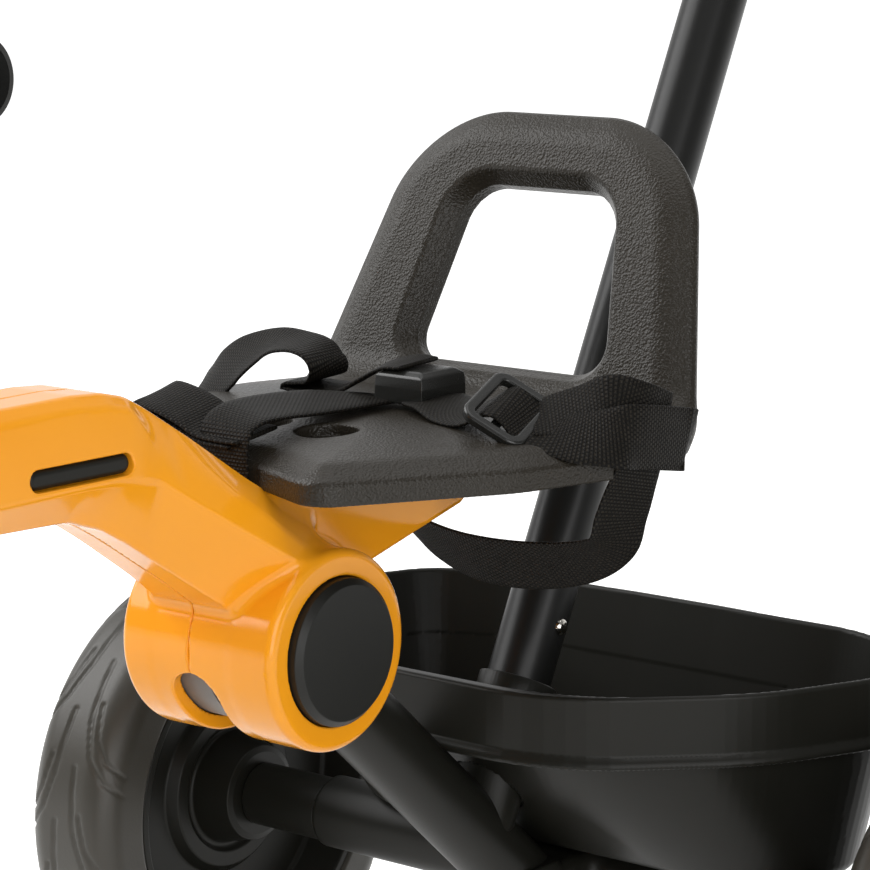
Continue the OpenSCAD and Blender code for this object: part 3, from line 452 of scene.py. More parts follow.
def webbingFinish(name, threadMm):
    made, tree, surface = newSurface(name,
                                     {"Roughness": 0.5, "IOR": 1.52, "Specular IOR Level": 0.1})
    place = addNode(tree, "ShaderNodeUVMap", {"uv_map": "weave"}).outputs["UV"]
    threads = addNode(tree, "ShaderNodeTexBrick", {
        "Scale": 1000.0, "Brick Width": 1.25 * threadMm, "Row Height": threadMm,
        "Mortar Size": 0.5 * threadMm,
        "Mortar Smooth": 1.0, "offset": 0.5, "Color1": linear("#221F1A"), "Color2": linear("#2E2A24"),
        # the near-black mortar colour is painted shade in the gaps between the picks
        "Mortar": linear("#050403")}, {"Vector": place})
    tree.links.new(threads.outputs["Color"], surface.inputs["Base Color"])
    relief = addNode(tree, "ShaderNodeBump", {"Strength": 1.0, "Distance": 0.0003, "invert": True},
                     {"Height": threads.outputs["Fac"]})
    tree.links.new(relief.outputs[0], surface.inputs["Normal"])
    return made


# woven polyester webbing: brown-black, a fine grid of raised picks with painted shade in the near-black gaps
# between them, and a dull silk sheen
webbing = webbingFinish("black woven polyester", 1.4)
print("finishes ready")


def dress(piece, finish, *nodes):
    piece.data.materials.append(finish)
    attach(piece, frame["nodes"][nodes[0]]["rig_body"])
    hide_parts(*nodes)
    return piece


# Orange body: a faceted beam, the hub barrel, the seat carrier and the head barrel, in two halves

beam = dict(
    # stations along the beam, flaring towards the hub
    y=[-330, -150, -112, -97, -86, -76, -64, -52, -36, -23, 6],
    top=[109, 109, 109.5, 108.5, 105.9, 100.5, 93.3, 86, 75.5, 67, 50],
    shoulder=[104.6, 104.6, 105.1, 104.1, 101.5, 89.5, 82.5, 74, 61.7, 51.4, 29],
    crease=[76.3, 76.3, 77, 77, 75.5, 74, 66.5, 58.5, 48.2, 39.7, 25],
    low=[64.6, 64.6, 63.7, 58.7, 52.4, 46, 38.1, 30.2, 19, 9.5, -10],
    flatX=[15.8, 15.8, 15.8, 15.8, 15.8, 15.8, 15.8, 16, 16.5, 17, 18],
    shoulderX=[20.2, 20.2, 20.2, 20.2, 20.2, 20.3, 20.5, 23.8, 28.6, 32.6, 37],
    creaseX=[23.5, 23.5, 23.5, 23.5, 23.5, 23.8, 26.8, 30.1, 34.4, 37.8, 40],
    underX=[13, 13, 13, 14, 15, 15.3, 16, 17, 20, 22, 24], end=9.0, edge=0.9, parting=0.12, partEdge=0.5)
hub = dict(left=42.0, right=35.4,  # how far the barrel reaches to each side
           flange=39.1, barrel=38.8, edge=3.6, stepX=17.0, stepLong=6.0, cavity=33.2, cavityHalf=25.0,
           recess=29.0, wall=8.5, slotHalf=12.0, slotFrom=8.0, slotTo=168.0, slotFloor=20.0, cutEdge=0.8,
           shaft=6.3)
carrier = dict(half=20.0, edge=3.0, outline=[(-12.4, 61), (122, 61), (127.5, 54.6), (102.5, 38.2), (46.5, 24),
                                             (18.6, 16), (-12.4, 37.2)])
head = dict(radius=26.0, bore=20.0, low=183.8, high=259.8, edge=2.5)
joinRounds = dict(hub=4.5, carrier=4.0, head=7.0)  # fillets where these run into the beam
insert = dict(y=-114.0, z=83.0, length=50.0, width=7.4, back=16.0, face=21.4, crown=2.4, floor=18.5, gap=0.35,
              edge=0.5)
counterbore = dict(radius=4.4, floor=15.0, places=[(-290, 87.2), (-220, 87.2), (-72, 74.1), (-32, 50.1)])


def beamField(x, y, z):
    at = {k: soft(y, beam["y"], beam[k], 2.2) for k in beam if isinstance(beam[k], list) and k != "y"}
    marks = [(at["flatX"], at["top"]), (at["shoulderX"], at["shoulder"]), (at["creaseX"], at["crease"]),
             (at["underX"], at["low"])]
    made = z - at["top"]
    for start, end in zip(marks, marks[1:]):
        made = roundAnd(made, edgeField(x, z, start, end), beam["edge"])
    made = roundAnd(made, at["low"] - z, beam["edge"])
    made = roundAnd(made, y - beam["end"], 3)
    return np.maximum(made, beam["y"][0] + 4 - y)


def hubField(x, y, z, half):
    rho = np.sqrt(y * y + z * z)
    share = np.clip((x - hub["stepX"]) / hub["stepLong"], 0, 1)
    radius = hub["barrel"] + (hub["flange"] - hub["barrel"]) * share * share * (3 - 2 * share)
    return roundAnd(rho - radius, np.abs(x) - half, hub["edge"])


def hubCuts(x, y, z, half):
    rho = np.sqrt(y * y + z * z)
    cut = np.maximum(rho - hub["cavity"], np.abs(x) - hub["cavityHalf"])
    cut = np.minimum(cut, np.maximum(rho - hub["recess"], half - hub["wall"] - x))
    cut = np.minimum(cut, rho - hub["shaft"])
    angle = np.degrees(np.arctan2(-z, y))
    ahead = np.radians(hub["slotTo"] - angle) * hub["flange"]
    wide = hub["slotHalf"]
    slot = np.where(ahead < wide, np.hypot(x, wide - ahead) - wide, np.abs(x) - wide)
    slot = np.maximum(slot, np.radians(hub["slotFrom"] - angle) * hub["flange"])
    slot = np.maximum(slot, hub["slotFloor"] - rho)
    return np.minimum(cut, slot)


def steerPlace(x, y, z):
    gy, gz = y - frontAxle[1], z - frontAxle[2]
    return gy * steerAxis[1] + gz * steerAxis[2], gy * steerBack[1] + gz * steerBack[2]


def stadium(y, z, size, grow=0.0):
    run = np.maximum(np.abs(y - size["y"]) - (size["length"] - size["width"]) / 2, 0)
    return np.hypot(run, z - size["z"]) - size["width"] / 2 - grow


def bodyField(x, y, z, far=False):
    hubHalf = hub["right"] if far else hub["left"]
    made = roundOr(beamField(x, y, z), hubField(x, y, z, hubHalf), joinRounds["hub"])
    side = polygonField(y, z, carrier["outline"])
    made = roundOr(made, roundAnd(side, np.abs(x) - carrier["half"], carrier["edge"]), joinRounds["carrier"])
    up, back = steerPlace(x, y, z)
    around = np.hypot(x, back)
    barrel = roundAnd(around - head["radius"], np.maximum(head["low"] - up, up - head["high"]), head["edge"])
    made = roundOr(made, barrel, joinRounds["head"])
    made = np.maximum(made, head["bore"] - around)
    made = roundAnd(made, -hubCuts(x, y, z, hubHalf), hub["cutEdge"])
    pocket = np.maximum(stadium(y, z, insert, insert["gap"]), insert["floor"] - x)
    made = roundAnd(made, -pocket, insert["edge"])
    if far:
        for sy, sz in counterbore["places"]:
            bore = np.hypot(y - sy, z - sz) - counterbore["radius"]
            made = np.maximum(made, -np.maximum(bore, counterbore["floor"] - x))
    return roundAnd(made, beam["parting"] - x, beam["partEdge"])


bodyLow, bodyHigh = (-1.2, -357.0, -42.0), (44.0, 131.0, 141.0)
for name, side in sides:
    half = netPiece("orangeBody" + name.title(), lambda x, y, z: bodyField(x, y, z, side < 0),
                    bodyLow, bodyHigh, 1.05, side < 0)
    dress(half, orangeAbs, "beam_shell_" + name)


def insertField(x, y, z):
    return roundAnd(stadium(y, z, insert), np.maximum(x - insert["face"], insert["back"] - x),
                    insert["crown"])


insertReach = insert["length"] / 2 + 2
for name, side in sides:
    bar = netPiece("slotBar_" + name.title(), insertField, (14, insert["y"] - insertReach, insert["z"] - 6),
                   (24, insert["y"] + insertReach, insert["z"] + 6), 0.4, side < 0)
    dress(bar, satinPp, "slot_insert_" + name)


# Push discs in the hub ends

disc = dict(radius=28.5, deep=9.0, bevel=2.4, dish=0.25, hollow=5.0, hollowR=23.0, rimIn=24.0, proud=5.0)


def discProfile(size):
    radius, deep, bevel = size["radius"], size["deep"], size["bevel"]
    made = [(size["hollow"], 0), (size["hollow"], size["hollowR"]), (0, size["rimIn"]), (0, radius),
            (deep - bevel, radius), (deep, radius - bevel), (deep - size["dish"], 0)]
    return filleted(made, [0, 0.5, 0.4, 0.5, 0.9, 0.9, 0], closed=False)


for name, side in sides:
    discBack = hub[name] + disc["proud"] - disc["deep"]
    cap = lathe("pushDisc" + name.title(), discProfile(disc), acrossX * side * discBack, acrossX * side,
                closed=False)
    dress(cap, discPp, "hub_button_" + name)


# Seat: a pan with a stepped sloping border, and a leaning backrest with a hand opening

seat = dict(under=61.2, edge=70.0, plan=[(14, -14.5), (55.5, -32), (96.3, 39.8), (111.5, 98), (96, 144)],
            planR=[8, 13, 56, 44.8, 30],
            inside=[0, 2, 9, 12, 22, 34, 46, 70, 110], rise=[0, 1.2, 5.6, 6.4, 7.8, 8.9, 9.6, 9.9, 8.8],
            profileSoft=1.2, dimple=(17.0, 23.0), dimpleR=12.0, dimpleFloor=74.5, dimpleEdge=1.2)
backrest = dict(foot=(137.4, 63.0), lean=20.7, half=103.4, topHalf=70.2, height=138.2, thick=16.0,
                corner=43.0, footR=24.0, chamferX=11.5, chamferDeep=6.6, rim=4.0, draft=5.0, fillet=20.0,
                openLow=28.0, openHigh=105.6, openHalf=52.0, openTopHalf=38.5, openR=15.0, bevel=5.5,
                bevelDeep=8.0)
seatPlan = bothSides(seat)


def slant(a, b, wide, deep):
    return (a / wide + b / deep + 1) * wide * deep / math.hypot(wide, deep)


def seatField(x, y, z):
    wide = np.abs(x)
    plan = polygonField(x, y, seatPlan)
    top = seat["edge"] + soft(-plan, seat["inside"], seat["rise"], seat["profileSoft"])
    pan = roundAnd(plan, z - top, 1.6)
    b = backrest
    lean = math.radians(b["lean"])
    gy = y - b["foot"][0]
    gz = z - b["foot"][1]
    up = gy * math.sin(lean) + gz * math.cos(lean)
    front = -gy * math.cos(lean) + gz * math.sin(lean)
    narrow = (b["half"] - b["topHalf"]) / b["height"]
    outline = roundAnd((wide - b["half"] + narrow * up) / math.hypot(1, narrow), up - b["height"],
                       b["corner"])
    outline = roundAnd(outline, -up, b["footR"])
    panel = roundAnd(outline, front, 1.5)
    panel = roundAnd(panel, slant(outline, front, b["chamferX"], b["chamferDeep"]), 2.5)
    panel = roundAnd(panel, -b["thick"] - front, 2)
    deep = b["thick"] - b["chamferDeep"] - b["rim"]
    panel = roundAnd(panel, slant(outline, -b["thick"] - front, b["draft"], deep), 2)
    taper = (b["openHalf"] - b["openTopHalf"]) / (b["openHigh"] - b["openLow"])
    hole = roundAnd((wide - b["openHalf"] + taper * (up - b["openLow"])) / math.hypot(1, taper),
                    up - b["openHigh"], b["openR"])
    hole = roundAnd(hole, b["openLow"] - up, b["openR"])
    flare = np.clip(front / b["bevelDeep"] + 1, 0, 1.2)
    panel = roundAnd(panel, b["bevel"] * flare - hole, 1.6)
    made = roundOr(pan, panel, b["fillet"])
    dimple = np.hypot(wide - seat["dimple"][0], y - seat["dimple"][1]) - seat["dimpleR"]
    made = roundAnd(made, -np.maximum(dimple, seat["dimpleFloor"] - z), seat["dimpleEdge"])
    return roundAnd(made, seat["under"] - z, 1)


seatPiece = netPiece("seatShell", seatField, (-116, -37, 59), (116, 217, 208), 1.25)
dress(seatPiece, pebbledPp, "seat_shell")


# Harness webbing, each stop a point and the direction of the webbing's width

crotchStops = [(0, -17, 56, 1, 0, 0), (0, -17.6, 66), (0, -17.6, 77, 1, 0, -0.04),
               (0, -15, 83.8, 1, 0, -0.08), (0, -7.5, 87.2, 1, 0.05, -0.14), (-0.5, 5, 87.8, 1, 0.1, -0.2),
               (-2, 27, 86.8, 1, 0.12, -0.24), (-3.5, 48, 85.4, 1, 0.12, -0.2),
               (-4.5, 66, 83.8, 1, 0.1, -0.1), (-5, 84, 81.9, 1, 0.05, 0)]
nearStops = [(20, 82, 83.9, 0, 1, 0.05), (30, 76, 84.4, 0.05, 1, 0.1), (45, 68, 83.4, 0.1, 0.97, 0.2),
             (57, 64.5, 85, -0.05, 0.95, 0.3), (69.1, 63.1, 90.4, -0.16, 0.94, 0.3), (73.8, 64.6, 89),
             (76.8, 66, 85.8), (81, 67.3, 82, -0.16, 0.92, 0.34), (91, 68.6, 79.4, -0.2, 0.84, 0.48),
             (102, 73.6, 78.4, -0.12, 0.74, 0.64), (110.6, 80, 78.6, -0.03, 0.66, 0.75),
             (114.6, 86.5, 78.4, 0, 0.6, 0.8), (116, 100, 76.6, 0, 0.52, 0.85), (116, 121, 73, 0, 0.46, 0.88),
             (114.8, 122.6, 72.6), (113.6, 121, 72.8), (113.2, 110, 74.6, 0, 0.5, 0.86)]
anchorStops = [(111.6, 98.5, 83, 0, 1, 0.05), (111.6, 98, 74, 0.05, 1, 0.03), (110.6, 97, 65, 0.15, 1, 0),
               (108, 95.5, 56, 0.25, 0.96, -0.05), (104.5, 94.5, 45, 0.3, 0.94, -0.15),
               (99, 95.5, 32.5, 0.1, 0.85, -0.5), (83, 95, 24, 0, 0.65, -0.76), (58, 92.5, 20, 0, 0.5, -0.86),
               (32, 91, 20.5), (8, 95, 24.5, 0, 0.6, -0.8), (-12, 101, 30.5, 0, 0.7, -0.7)]
freeEndStops = [(79, 71.5, 83.6, -0.16, 0.9, 0.38), (91, 80.5, 86.2, -0.2, 0.72, 0.62),
                (103, 88, 89.4, -0.05, 0.56, 0.82), (110.4, 97, 86, 0, 0.5, 0.86),
                (112.4, 112, 80, 0, 0.48, 0.87)]
farStops = [(-111, 84, 63, -0.2, 0.98, 0), (-110.6, 83, 70, -0.4, 0.9, 0.05),
            (-104.5, 81, 75, -0.7, 0.7, 0.1), (-93, 79.5, 81.6, -0.85, 0.5, 0.16),
            (-78, 79, 91.8, -0.84, 0.5, 0.16), (-61, 79.5, 99, -0.68, 0.7, 0.16),
            (-47, 80, 100.4, -0.45, 0.88, 0.15), (-38, 80, 98.4, -0.28, 0.94, 0.17),
            (-33.5, 80.5, 93.6, -0.12, 0.97, 0.1), (-35.5, 82, 88.2, 0, 1, 0.05), (-42, 83.5, 86),
            (-48, 84.4, 85.2), (-51, 84.8, 83.8), (-48, 85, 82.6), (-33, 85.5, 82.8),
            (-22, 85.4, 86, -0.05, 1, 0.2), (-11, 85.2, 92), (1, 85.4, 96.4, 0.05, 1, 0.12),
            (11, 85.6, 97, 0.1, 1, 0.05)]
tailStops = [(4, -8, 78.4, 0, 0.98, 0.15), (-12, -8.5, 80, 0, 0.97, 0.2), (-28, -9.2, 85.2, 0, 0.97, 0.25),
             (-39, -9.5, 88.2), (-43.6, -9.5, 89.8), (-42.2, -9.5, 91.4), (-33, -9.5, 90.2), (-22, -9, 86.8),
             (-12, -8.5, 82.2, 0, 0.97, 0.22), (0, -8, 80.4, 0, 0.98, 0.15), (8, -7.6, 80.2, 0, 0.98, 0.12)]
straps = [("crotchWeb", crotchStops, "crotch_strap", "laid"),
          ("nearWaistWeb", nearStops, "waist_strap_left", "laid"),
          ("farWaistWeb", farStops, "waist_strap_right", "laid"),
          ("nearAnchorWeb", anchorStops, None, "laid"),
          ("nearFreeEnd", freeEndStops, None, "folded"), ("foldedTail", tailStops, None, "folded")]
pulled = ("nearWaistWeb", "nearFreeEnd")  # these run from the slider and are left unattached to any body
strapLengths = {}
for name, stops, node, held in straps:
    strap, length = webStrap(name, stops)
    strapLengths[name] = round(length, 3)
    strap.data.materials.append(webbing)
    if node:
        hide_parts(node)
    if name in pulled:
        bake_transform(strap)
    else:
        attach(strap, "chassis")
print("webbing", strapLengths)


# Side-release buckle and the tri-glide slider

buckle = dict(rest=(9.0, -11.2, 3.2), length=25.0, width=28.6, thick=13.0, bevel=2.4, lean=0.16, tongue=12.0,
              skew=0.5, tongueDown=0.9)
# it lies on the stacked webbing
blockAt = np.mean(nodeBox("buckle_housing"), axis=0) + np.array(buckle["rest"])


def housingField(x, y, z):
    gx, gy, gz = x - blockAt[0], y - blockAt[1], z - blockAt[2]
    long, wide, tall = buckle["length"] / 2, buckle["width"] / 2, buckle["thick"] / 2
    made = boxField([(gx, long), (gy, wide), (gz, tall)], 1.0)
    lean = np.maximum(gz, 0) * buckle["lean"]
    made = roundAnd(made, np.maximum(np.abs(gx) - long, np.abs(gy) - wide) + lean, 0.8)
    for a, half in ((gx, long), (gy, wide)):
        made = roundAnd(made, slant(np.abs(a) - half, gz - tall, buckle["bevel"] * 1.5, buckle["bevel"]), 0.6)
    mouth = boxField([(gx - long, 10), (gy, 10.4), (gz + tall + 0.4, 2.6)], 0.5)
    return np.maximum(made, -mouth)


def tongueField(x, y, z):
    gx = x - blockAt[0] - buckle["length"] / 2
    gy = y - blockAt[1]
    gz = z - blockAt[2] + buckle["thick"] / 2 + buckle["tongueDown"]
    turned = gy + buckle["skew"] * gx
    long = buckle["tongue"] / 2
    plate = boxField([(gx - long - 0.3, long), (turned, 11.4), (gz, 1.4)], 1.0)
    slot = boxField([(gx - buckle["tongue"] * 0.6, 2.2), (turned, 9.6), (gz, 9)], 0.8)
    prong = boxField([(gx + 4, 5), (np.abs(gy) - 6.5, 2.6), (gz, 1.3)], 0.6)
    return np.minimum(np.maximum(plate, -slot), prong)


blockReach = np.array([24.0, 18, 9])
tongueAt = blockAt + np.array([24.0, 0, -4])
for name, field, middle, node in (("buckleHousing", housingField, blockAt, "buckle_housing"),
                                  ("buckleTongue", tongueField, tongueAt, "buckle_tongue")):
    dress(netPiece(name, field, middle - blockReach, middle + blockReach, 0.5), acetal, node)

slider = dict(centre=(72.0, 64.8, 87.0), along=(0.8, 0.33, -0.5), across=(-0.16, 0.94, 0.3), length=27.5,
              width=36.5, thick=4.0, bar=4.4, corner=6.5, windowR=2.5, reach=21.0)
sliderAlong = unit(slider["along"])
sliderAcross = unit(np.array(slider["across"]) - sliderAlong * (np.array(slider["across"]) @ sliderAlong))
sliderUp = np.cross(sliderAlong, sliderAcross)


def sliderField(x, y, z):
    g = [x - slider["centre"][0], y - slider["centre"][1], z - slider["centre"][2]]
    a, b, c = (sum(p * q for p, q in zip(g, axis)) for axis in (sliderAlong, sliderAcross, sliderUp))
    long, wide = slider["length"] / 2, slider["width"] / 2
    plate = roundAnd(boxField([(a, long), (b, wide)], slider["corner"]), np.abs(c) - slider["thick"] / 2, 1.3)
    window = boxField([(a, long - slider["bar"]), (b, wide - slider["bar"])], slider["windowR"])
    bar = boxField([(a, 2.0), (b, wide - 2), (c + 0.9, 1.0)], 0.8)
    return np.minimum(roundAnd(plate, -window, 1.0), bar)


sliderLow, sliderHigh = (np.array(slider["centre"]) + k * slider["reach"] for k in (-1, 1))
dress(netPiece("strapSlider", sliderField, sliderLow, sliderHigh, 0.5), acetal, "strap_slider")


# Basket: an open tub under a deep rim band with a beaded foot

basket = dict(plan=[(20, 104.6), (63, 104.6), (124, 165.6), (151, 228), (134, 270), (94, 287.5), (20, 289)],
              planR=[0, 80, 110, 50, 36, 60, 0], top=-37.0, bandLow=-67.0, draft=0.225,
              slopeTop=(114.0, -65.5),
              slopeLow=(182.0, -128.7), floor=-128.7, wall=3.0, bead=2.2, beadHeight=5.5, frontRound=30.0,
              floorRound=6.0, collarHole=16.2)
basketPlan = bothSides(basket)


def basketField(x, y, z):
    b = basket
    plan = polygonField(x, y, basketPlan)
    inward = b["draft"] * (b["top"] - z)
    (ya, za), (yb, zb) = b["slopeTop"], b["slopeLow"]
    slope = edgeField(-y, z, (-ya, za), (-yb, zb))

    def tub(grow):
        walls = roundAnd(plan + inward + grow, slope + grow, b["frontRound"])
        return roundAnd(walls, b["floor"] + grow - z, b["floorRound"])

    band = roundAnd(plan, np.maximum(z - b["top"], b["bandLow"] - z), 1.6)
    beadHalf = b["beadHeight"] / 2
    beadSide = plan - b["bead"]
    bead = roundAnd(beadSide, np.abs(z - b["bandLow"] - beadHalf) - beadHalf, 1.5)
    bead = roundAnd(bead, slant(beadSide, z - b["bandLow"] - b["beadHeight"], 2.2, 3.6), 0.8)
    outer = roundOr(band, bead, 1.0)
    outer = np.minimum(outer, np.maximum(tub(0), z - b["bandLow"] - 1))
    made = roundAnd(outer, -tub(b["wall"]), 1.3)
    push = np.sqrt(x * x + ((y - pushFoot[1]) * pushAxis[2] - (z - pushFoot[2]) * pushAxis[1]) ** 2)
    return np.maximum(made, b["collarHole"] - push)


basketPiece = netPiece("basketTub", basketField, (-164, 100, -131), (164, 296, -34), 1.45)
dress(basketPiece, satinPp, "basket")


# Rear leg, cross member and axle sleeves

leg = dict(over=8.2, slope=41.5, radius=16.0, start=43.0, end=243.0, neckHalf=10.0, neckDeep=12.0, drumR=33.0)
legDown = np.array([0, math.cos(math.radians(leg["slope"])), -math.sin(math.radians(leg["slope"]))])
cross = dict(radius=17.0, half=143.0, blockHalf=18.0,
             block=[(-57.8, 34), (-34, 15), (16, 15), (16, -15), (-10, -26), (-36, -28), (-64, -4)])
sleeve = dict(radius=15.0, bore=5.4, end=188.7)


def legField(x, y, z):
    run = y * legDown[1] + (z - leg["over"]) * legDown[2]
    off = -y * legDown[2] + (z - leg["over"]) * legDown[1]
    tube = roundAnd(np.hypot(x, off) - leg["radius"], np.maximum(leg["start"] - 6 - run, run - leg["end"]), 6)
    neck = boxField([(x, leg["neckHalf"]), (off, leg["neckDeep"]), (run - 30, 24)], 3)
    made = roundOr(tube, neck, 6)
    return np.maximum(made, leg["drumR"] - np.hypot(y, z))


def crossField(x, y, z):
    gy, gz = y - rearAxle[1], z - rearAxle[2]
    rod = roundAnd(np.hypot(gy, gz) - cross["radius"], np.abs(x) - cross["half"], 2)
    block = roundAnd(polygonField(gy, gz, cross["block"]), np.abs(x) - cross["blockHalf"], 4)
    made = roundOr(rod, block, 8)
    return np.maximum(made, z - basket["floor"] + 0.2)


dress(netPiece("rearLeg", legField, (-20, 0, -190), (20, 205, 40), 1.3), satinPp, "rear_leg")
dress(netPiece("crossMember", crossField, (-147, 140, -182), (147, 240, -100), 1.5), satinPp, "cross_member")
sleeveProfile = pipe(sleeve["end"] - cross["half"], sleeve["radius"], sleeve["bore"], [0.3, 1.2, 1.5, 0.3])
for name, side in sides:
    start = rearAxle * [0, 1, 1] + acrossX * side * cross["half"]
    made = lathe("axleSleeve" + name.title(), sleeveProfile, start, acrossX * side)
    dress(made, satinPp, "axle_sleeve_" + name)


# Wheels: foam tyres with shoulder grooves, dished rims

# paths of the tread's thin grooves, along the tread and out from its middle
treadCuts = [[(-46, 4.5), (-16, 7), (2, 12.5), (12, 21), (18, 33)], [(-24, 10.5), (-8, 14), (2, 20), (8, 31)]]
tread = dict(cutHalf=1.0, cutDeep=0.9, cutFade=0.9, fine=1.1, coarse=4.0, turns=760)
rearWheel = dict(inner=189.0, width=51.5, radius=109.0, depth=29.0, shoulder=15.0, boss=23.0, bossEnd=57.0,
                 grooves=13)
frontWheel = dict(inner=-23.0, width=46.0, radius=125.0, depth=30.0, shoulder=14.0, boss=23.0, bossEnd=46.0,
                  grooves=15)


def tyrePiece(name, wheel, centre, side):
    r, w = wheel["radius"], wheel["width"]
    inner = r - wheel["depth"]
    section = filleted([(0, inner), (0, r), (w, r), (w, inner)],
                       [2.5, wheel["shoulder"], wheel["shoulder"], 2.5], steps=22)
    dense = []
    for a, b in zip(section, section[1:] + section[:1]):
        fine = tread["fine"] if max(a[1], b[1]) > inner + 4 else tread["coarse"]
        count = max(1, int(math.dist(a, b) / fine))
        dense += [tuple(np.array(a) + (np.array(b) - np.array(a)) * k / count) for k in range(count)]
    run = np.concatenate([[0], np.cumsum([math.dist(a, b) for a, b in zip(dense, dense[1:])])])
    middle = run[int(np.argmin([abs(a - w / 2) + (0 if q > r - 1 else 99) for a, q in dense]))]
    turns = tread["turns"]
    angle = np.linspace(0, 2 * math.pi, turns, endpoint=False)
    pitch = 2 * math.pi * r / wheel["grooves"]
    points = []
    for (a, radius), place in zip(dense, run):
        half = 1 if place > middle else -1
        off = abs(place - middle)
        reach = (angle * r + half * pitch / 4) % pitch - pitch / 2
        depth = np.zeros(turns)
        for shift in (-pitch, 0, pitch):
            for start, end in [pair for cut in treadCuts for pair in zip(cut, cut[1:])]:
                away = np.sqrt(segmentGap(reach + shift, off, start, end))
                depth = np.maximum(depth, np.clip((tread["cutHalf"] - away) / tread["cutFade"] + 0.5, 0, 1))
        ring = radius - depth * tread["cutDeep"]
        points.append(np.stack([np.full(turns, a), ring * np.cos(angle), ring * np.sin(angle)], 1))
    points = np.concatenate(points)
    points[:, 0] = side * (points[:, 0] + wheel["inner"])
    points = points + centre * [0, 1, 1]
    faces = ringFaces(len(dense), turns, True)
    if side > 0:
        faces = [f[::-1] for f in faces]
    return meshPiece(name, points, faces)


def rimPiece(name, wheel, centre, side):
    r = wheel["radius"] - wheel["depth"] - 0.25
    w, boss, end = wheel["width"], wheel["boss"], wheel["bossEnd"]
    mid = w / 2
    lip = [(1.2, r - 4), (1.2, r)]
    dish = [(mid - 3, r - 9), (mid - 2.5, boss + 20), (mid - 8, boss + 16), (mid - 8, boss + 9),
            (mid - 2.5, boss + 5), (1, boss), (0, boss - 3), (0, 6.2)]
    outer = [((w if q > boss else end) - a, q) for a, q in lip[::-1] + dish]
    profile = lip + outer + dish[::-1]
    dishRounds = [3, 2, 1.5, 1.5, 2, 0.8, 0.8, 0.4]
    rounds = [1.2, 0.6, 0.6, 1.2] + dishRounds + dishRounds[::-1]
    start = centre * [0, 1, 1] + acrossX * side * wheel["inner"]
    return lathe(name, filleted(profile, rounds, steps=4), start, acrossX * side)


for name, side in sides:
    dress(tyrePiece("rearTyre" + name.title(), rearWheel, rearAxle, side), evaTyre, "rear_tyre_" + name)
    dress(rimPiece("rearRim" + name.title(), rearWheel, rearAxle, side), satinPp, "rear_rim_" + name)
dress(tyrePiece("frontTyre", frontWheel, frontAxle, 1), evaTyre, "front_tyre")
dress(rimPiece("frontRim", frontWheel, frontAxle, 1), satinPp, "front_rim")
print("wheels done")


# Steering: fork, handlebar cover, cranks and pedals

fork = dict(bladeX=36.0, bladeHalf=6.0, wide=14.0, crownLow=137.0, crownTop=179.5, crownR=26.0, yokeHalf=7.5,
            axleHole=6.2)


def forkField(x, y, z):
    up, back = steerPlace(x, y, z)
    tip = np.hypot(np.minimum(up, 0), back) - fork["wide"]
    shank = np.where(up < 0, tip, np.abs(back) - fork["wide"])
    blade = roundAnd(shank, np.abs(np.abs(x) - fork["bladeX"]) - fork["bladeHalf"], 3.5)
    blade = roundAnd(blade, up - fork["crownLow"] - 14, 5)
    yoke = boxField([(x, fork["bladeX"] + fork["bladeHalf"]), (back, fork["wide"]),
                     (up - fork["crownLow"] - fork["yokeHalf"], fork["yokeHalf"])], 3.5)
    crown = roundAnd(np.hypot(x, back) - fork["crownR"],
                     np.maximum(fork["crownLow"] - up, up - fork["crownTop"]), 2.5)
    made = roundOr(roundOr(blade, yoke, 5), crown, 8)
    made = np.maximum(made, up - fork["crownTop"])
    return np.maximum(made, fork["axleHole"] - np.hypot(y - frontAxle[1], z - frontAxle[2]))


low, high = nodeBox("fork")
dress(netPiece("forkFrame", forkField, low - 3, high + 3, 1.3), satinPp, "fork")

cover = dict(half=37.0, deep=22.0, tall=62.0, middle=-9.0, round=10.0, barHole=11.3, columnHole=14.3,
             columnTop=-13.0)


def coverField(x, y, z):
    up, back = steerPlace(x, y, z)
    barUp = np.linalg.norm(barAt - frontAxle)
    made = boxField([(x, cover["half"]), (back, cover["deep"]),
                     (up - barUp - cover["middle"], cover["tall"] / 2)],
                    cover["round"])
    made = np.maximum(made, cover["barHole"] - np.hypot(up - barUp, back))
    column = np.minimum(cover["columnHole"] - np.hypot(x, back), barUp + cover["columnTop"] - up)
    return np.maximum(made, column)


low, high = nodeBox("handlebar_cover")
dress(netPiece("handlebarCover", coverField, low - 3, high + 3, 1.2), orangeAbs, "handlebar_cover")

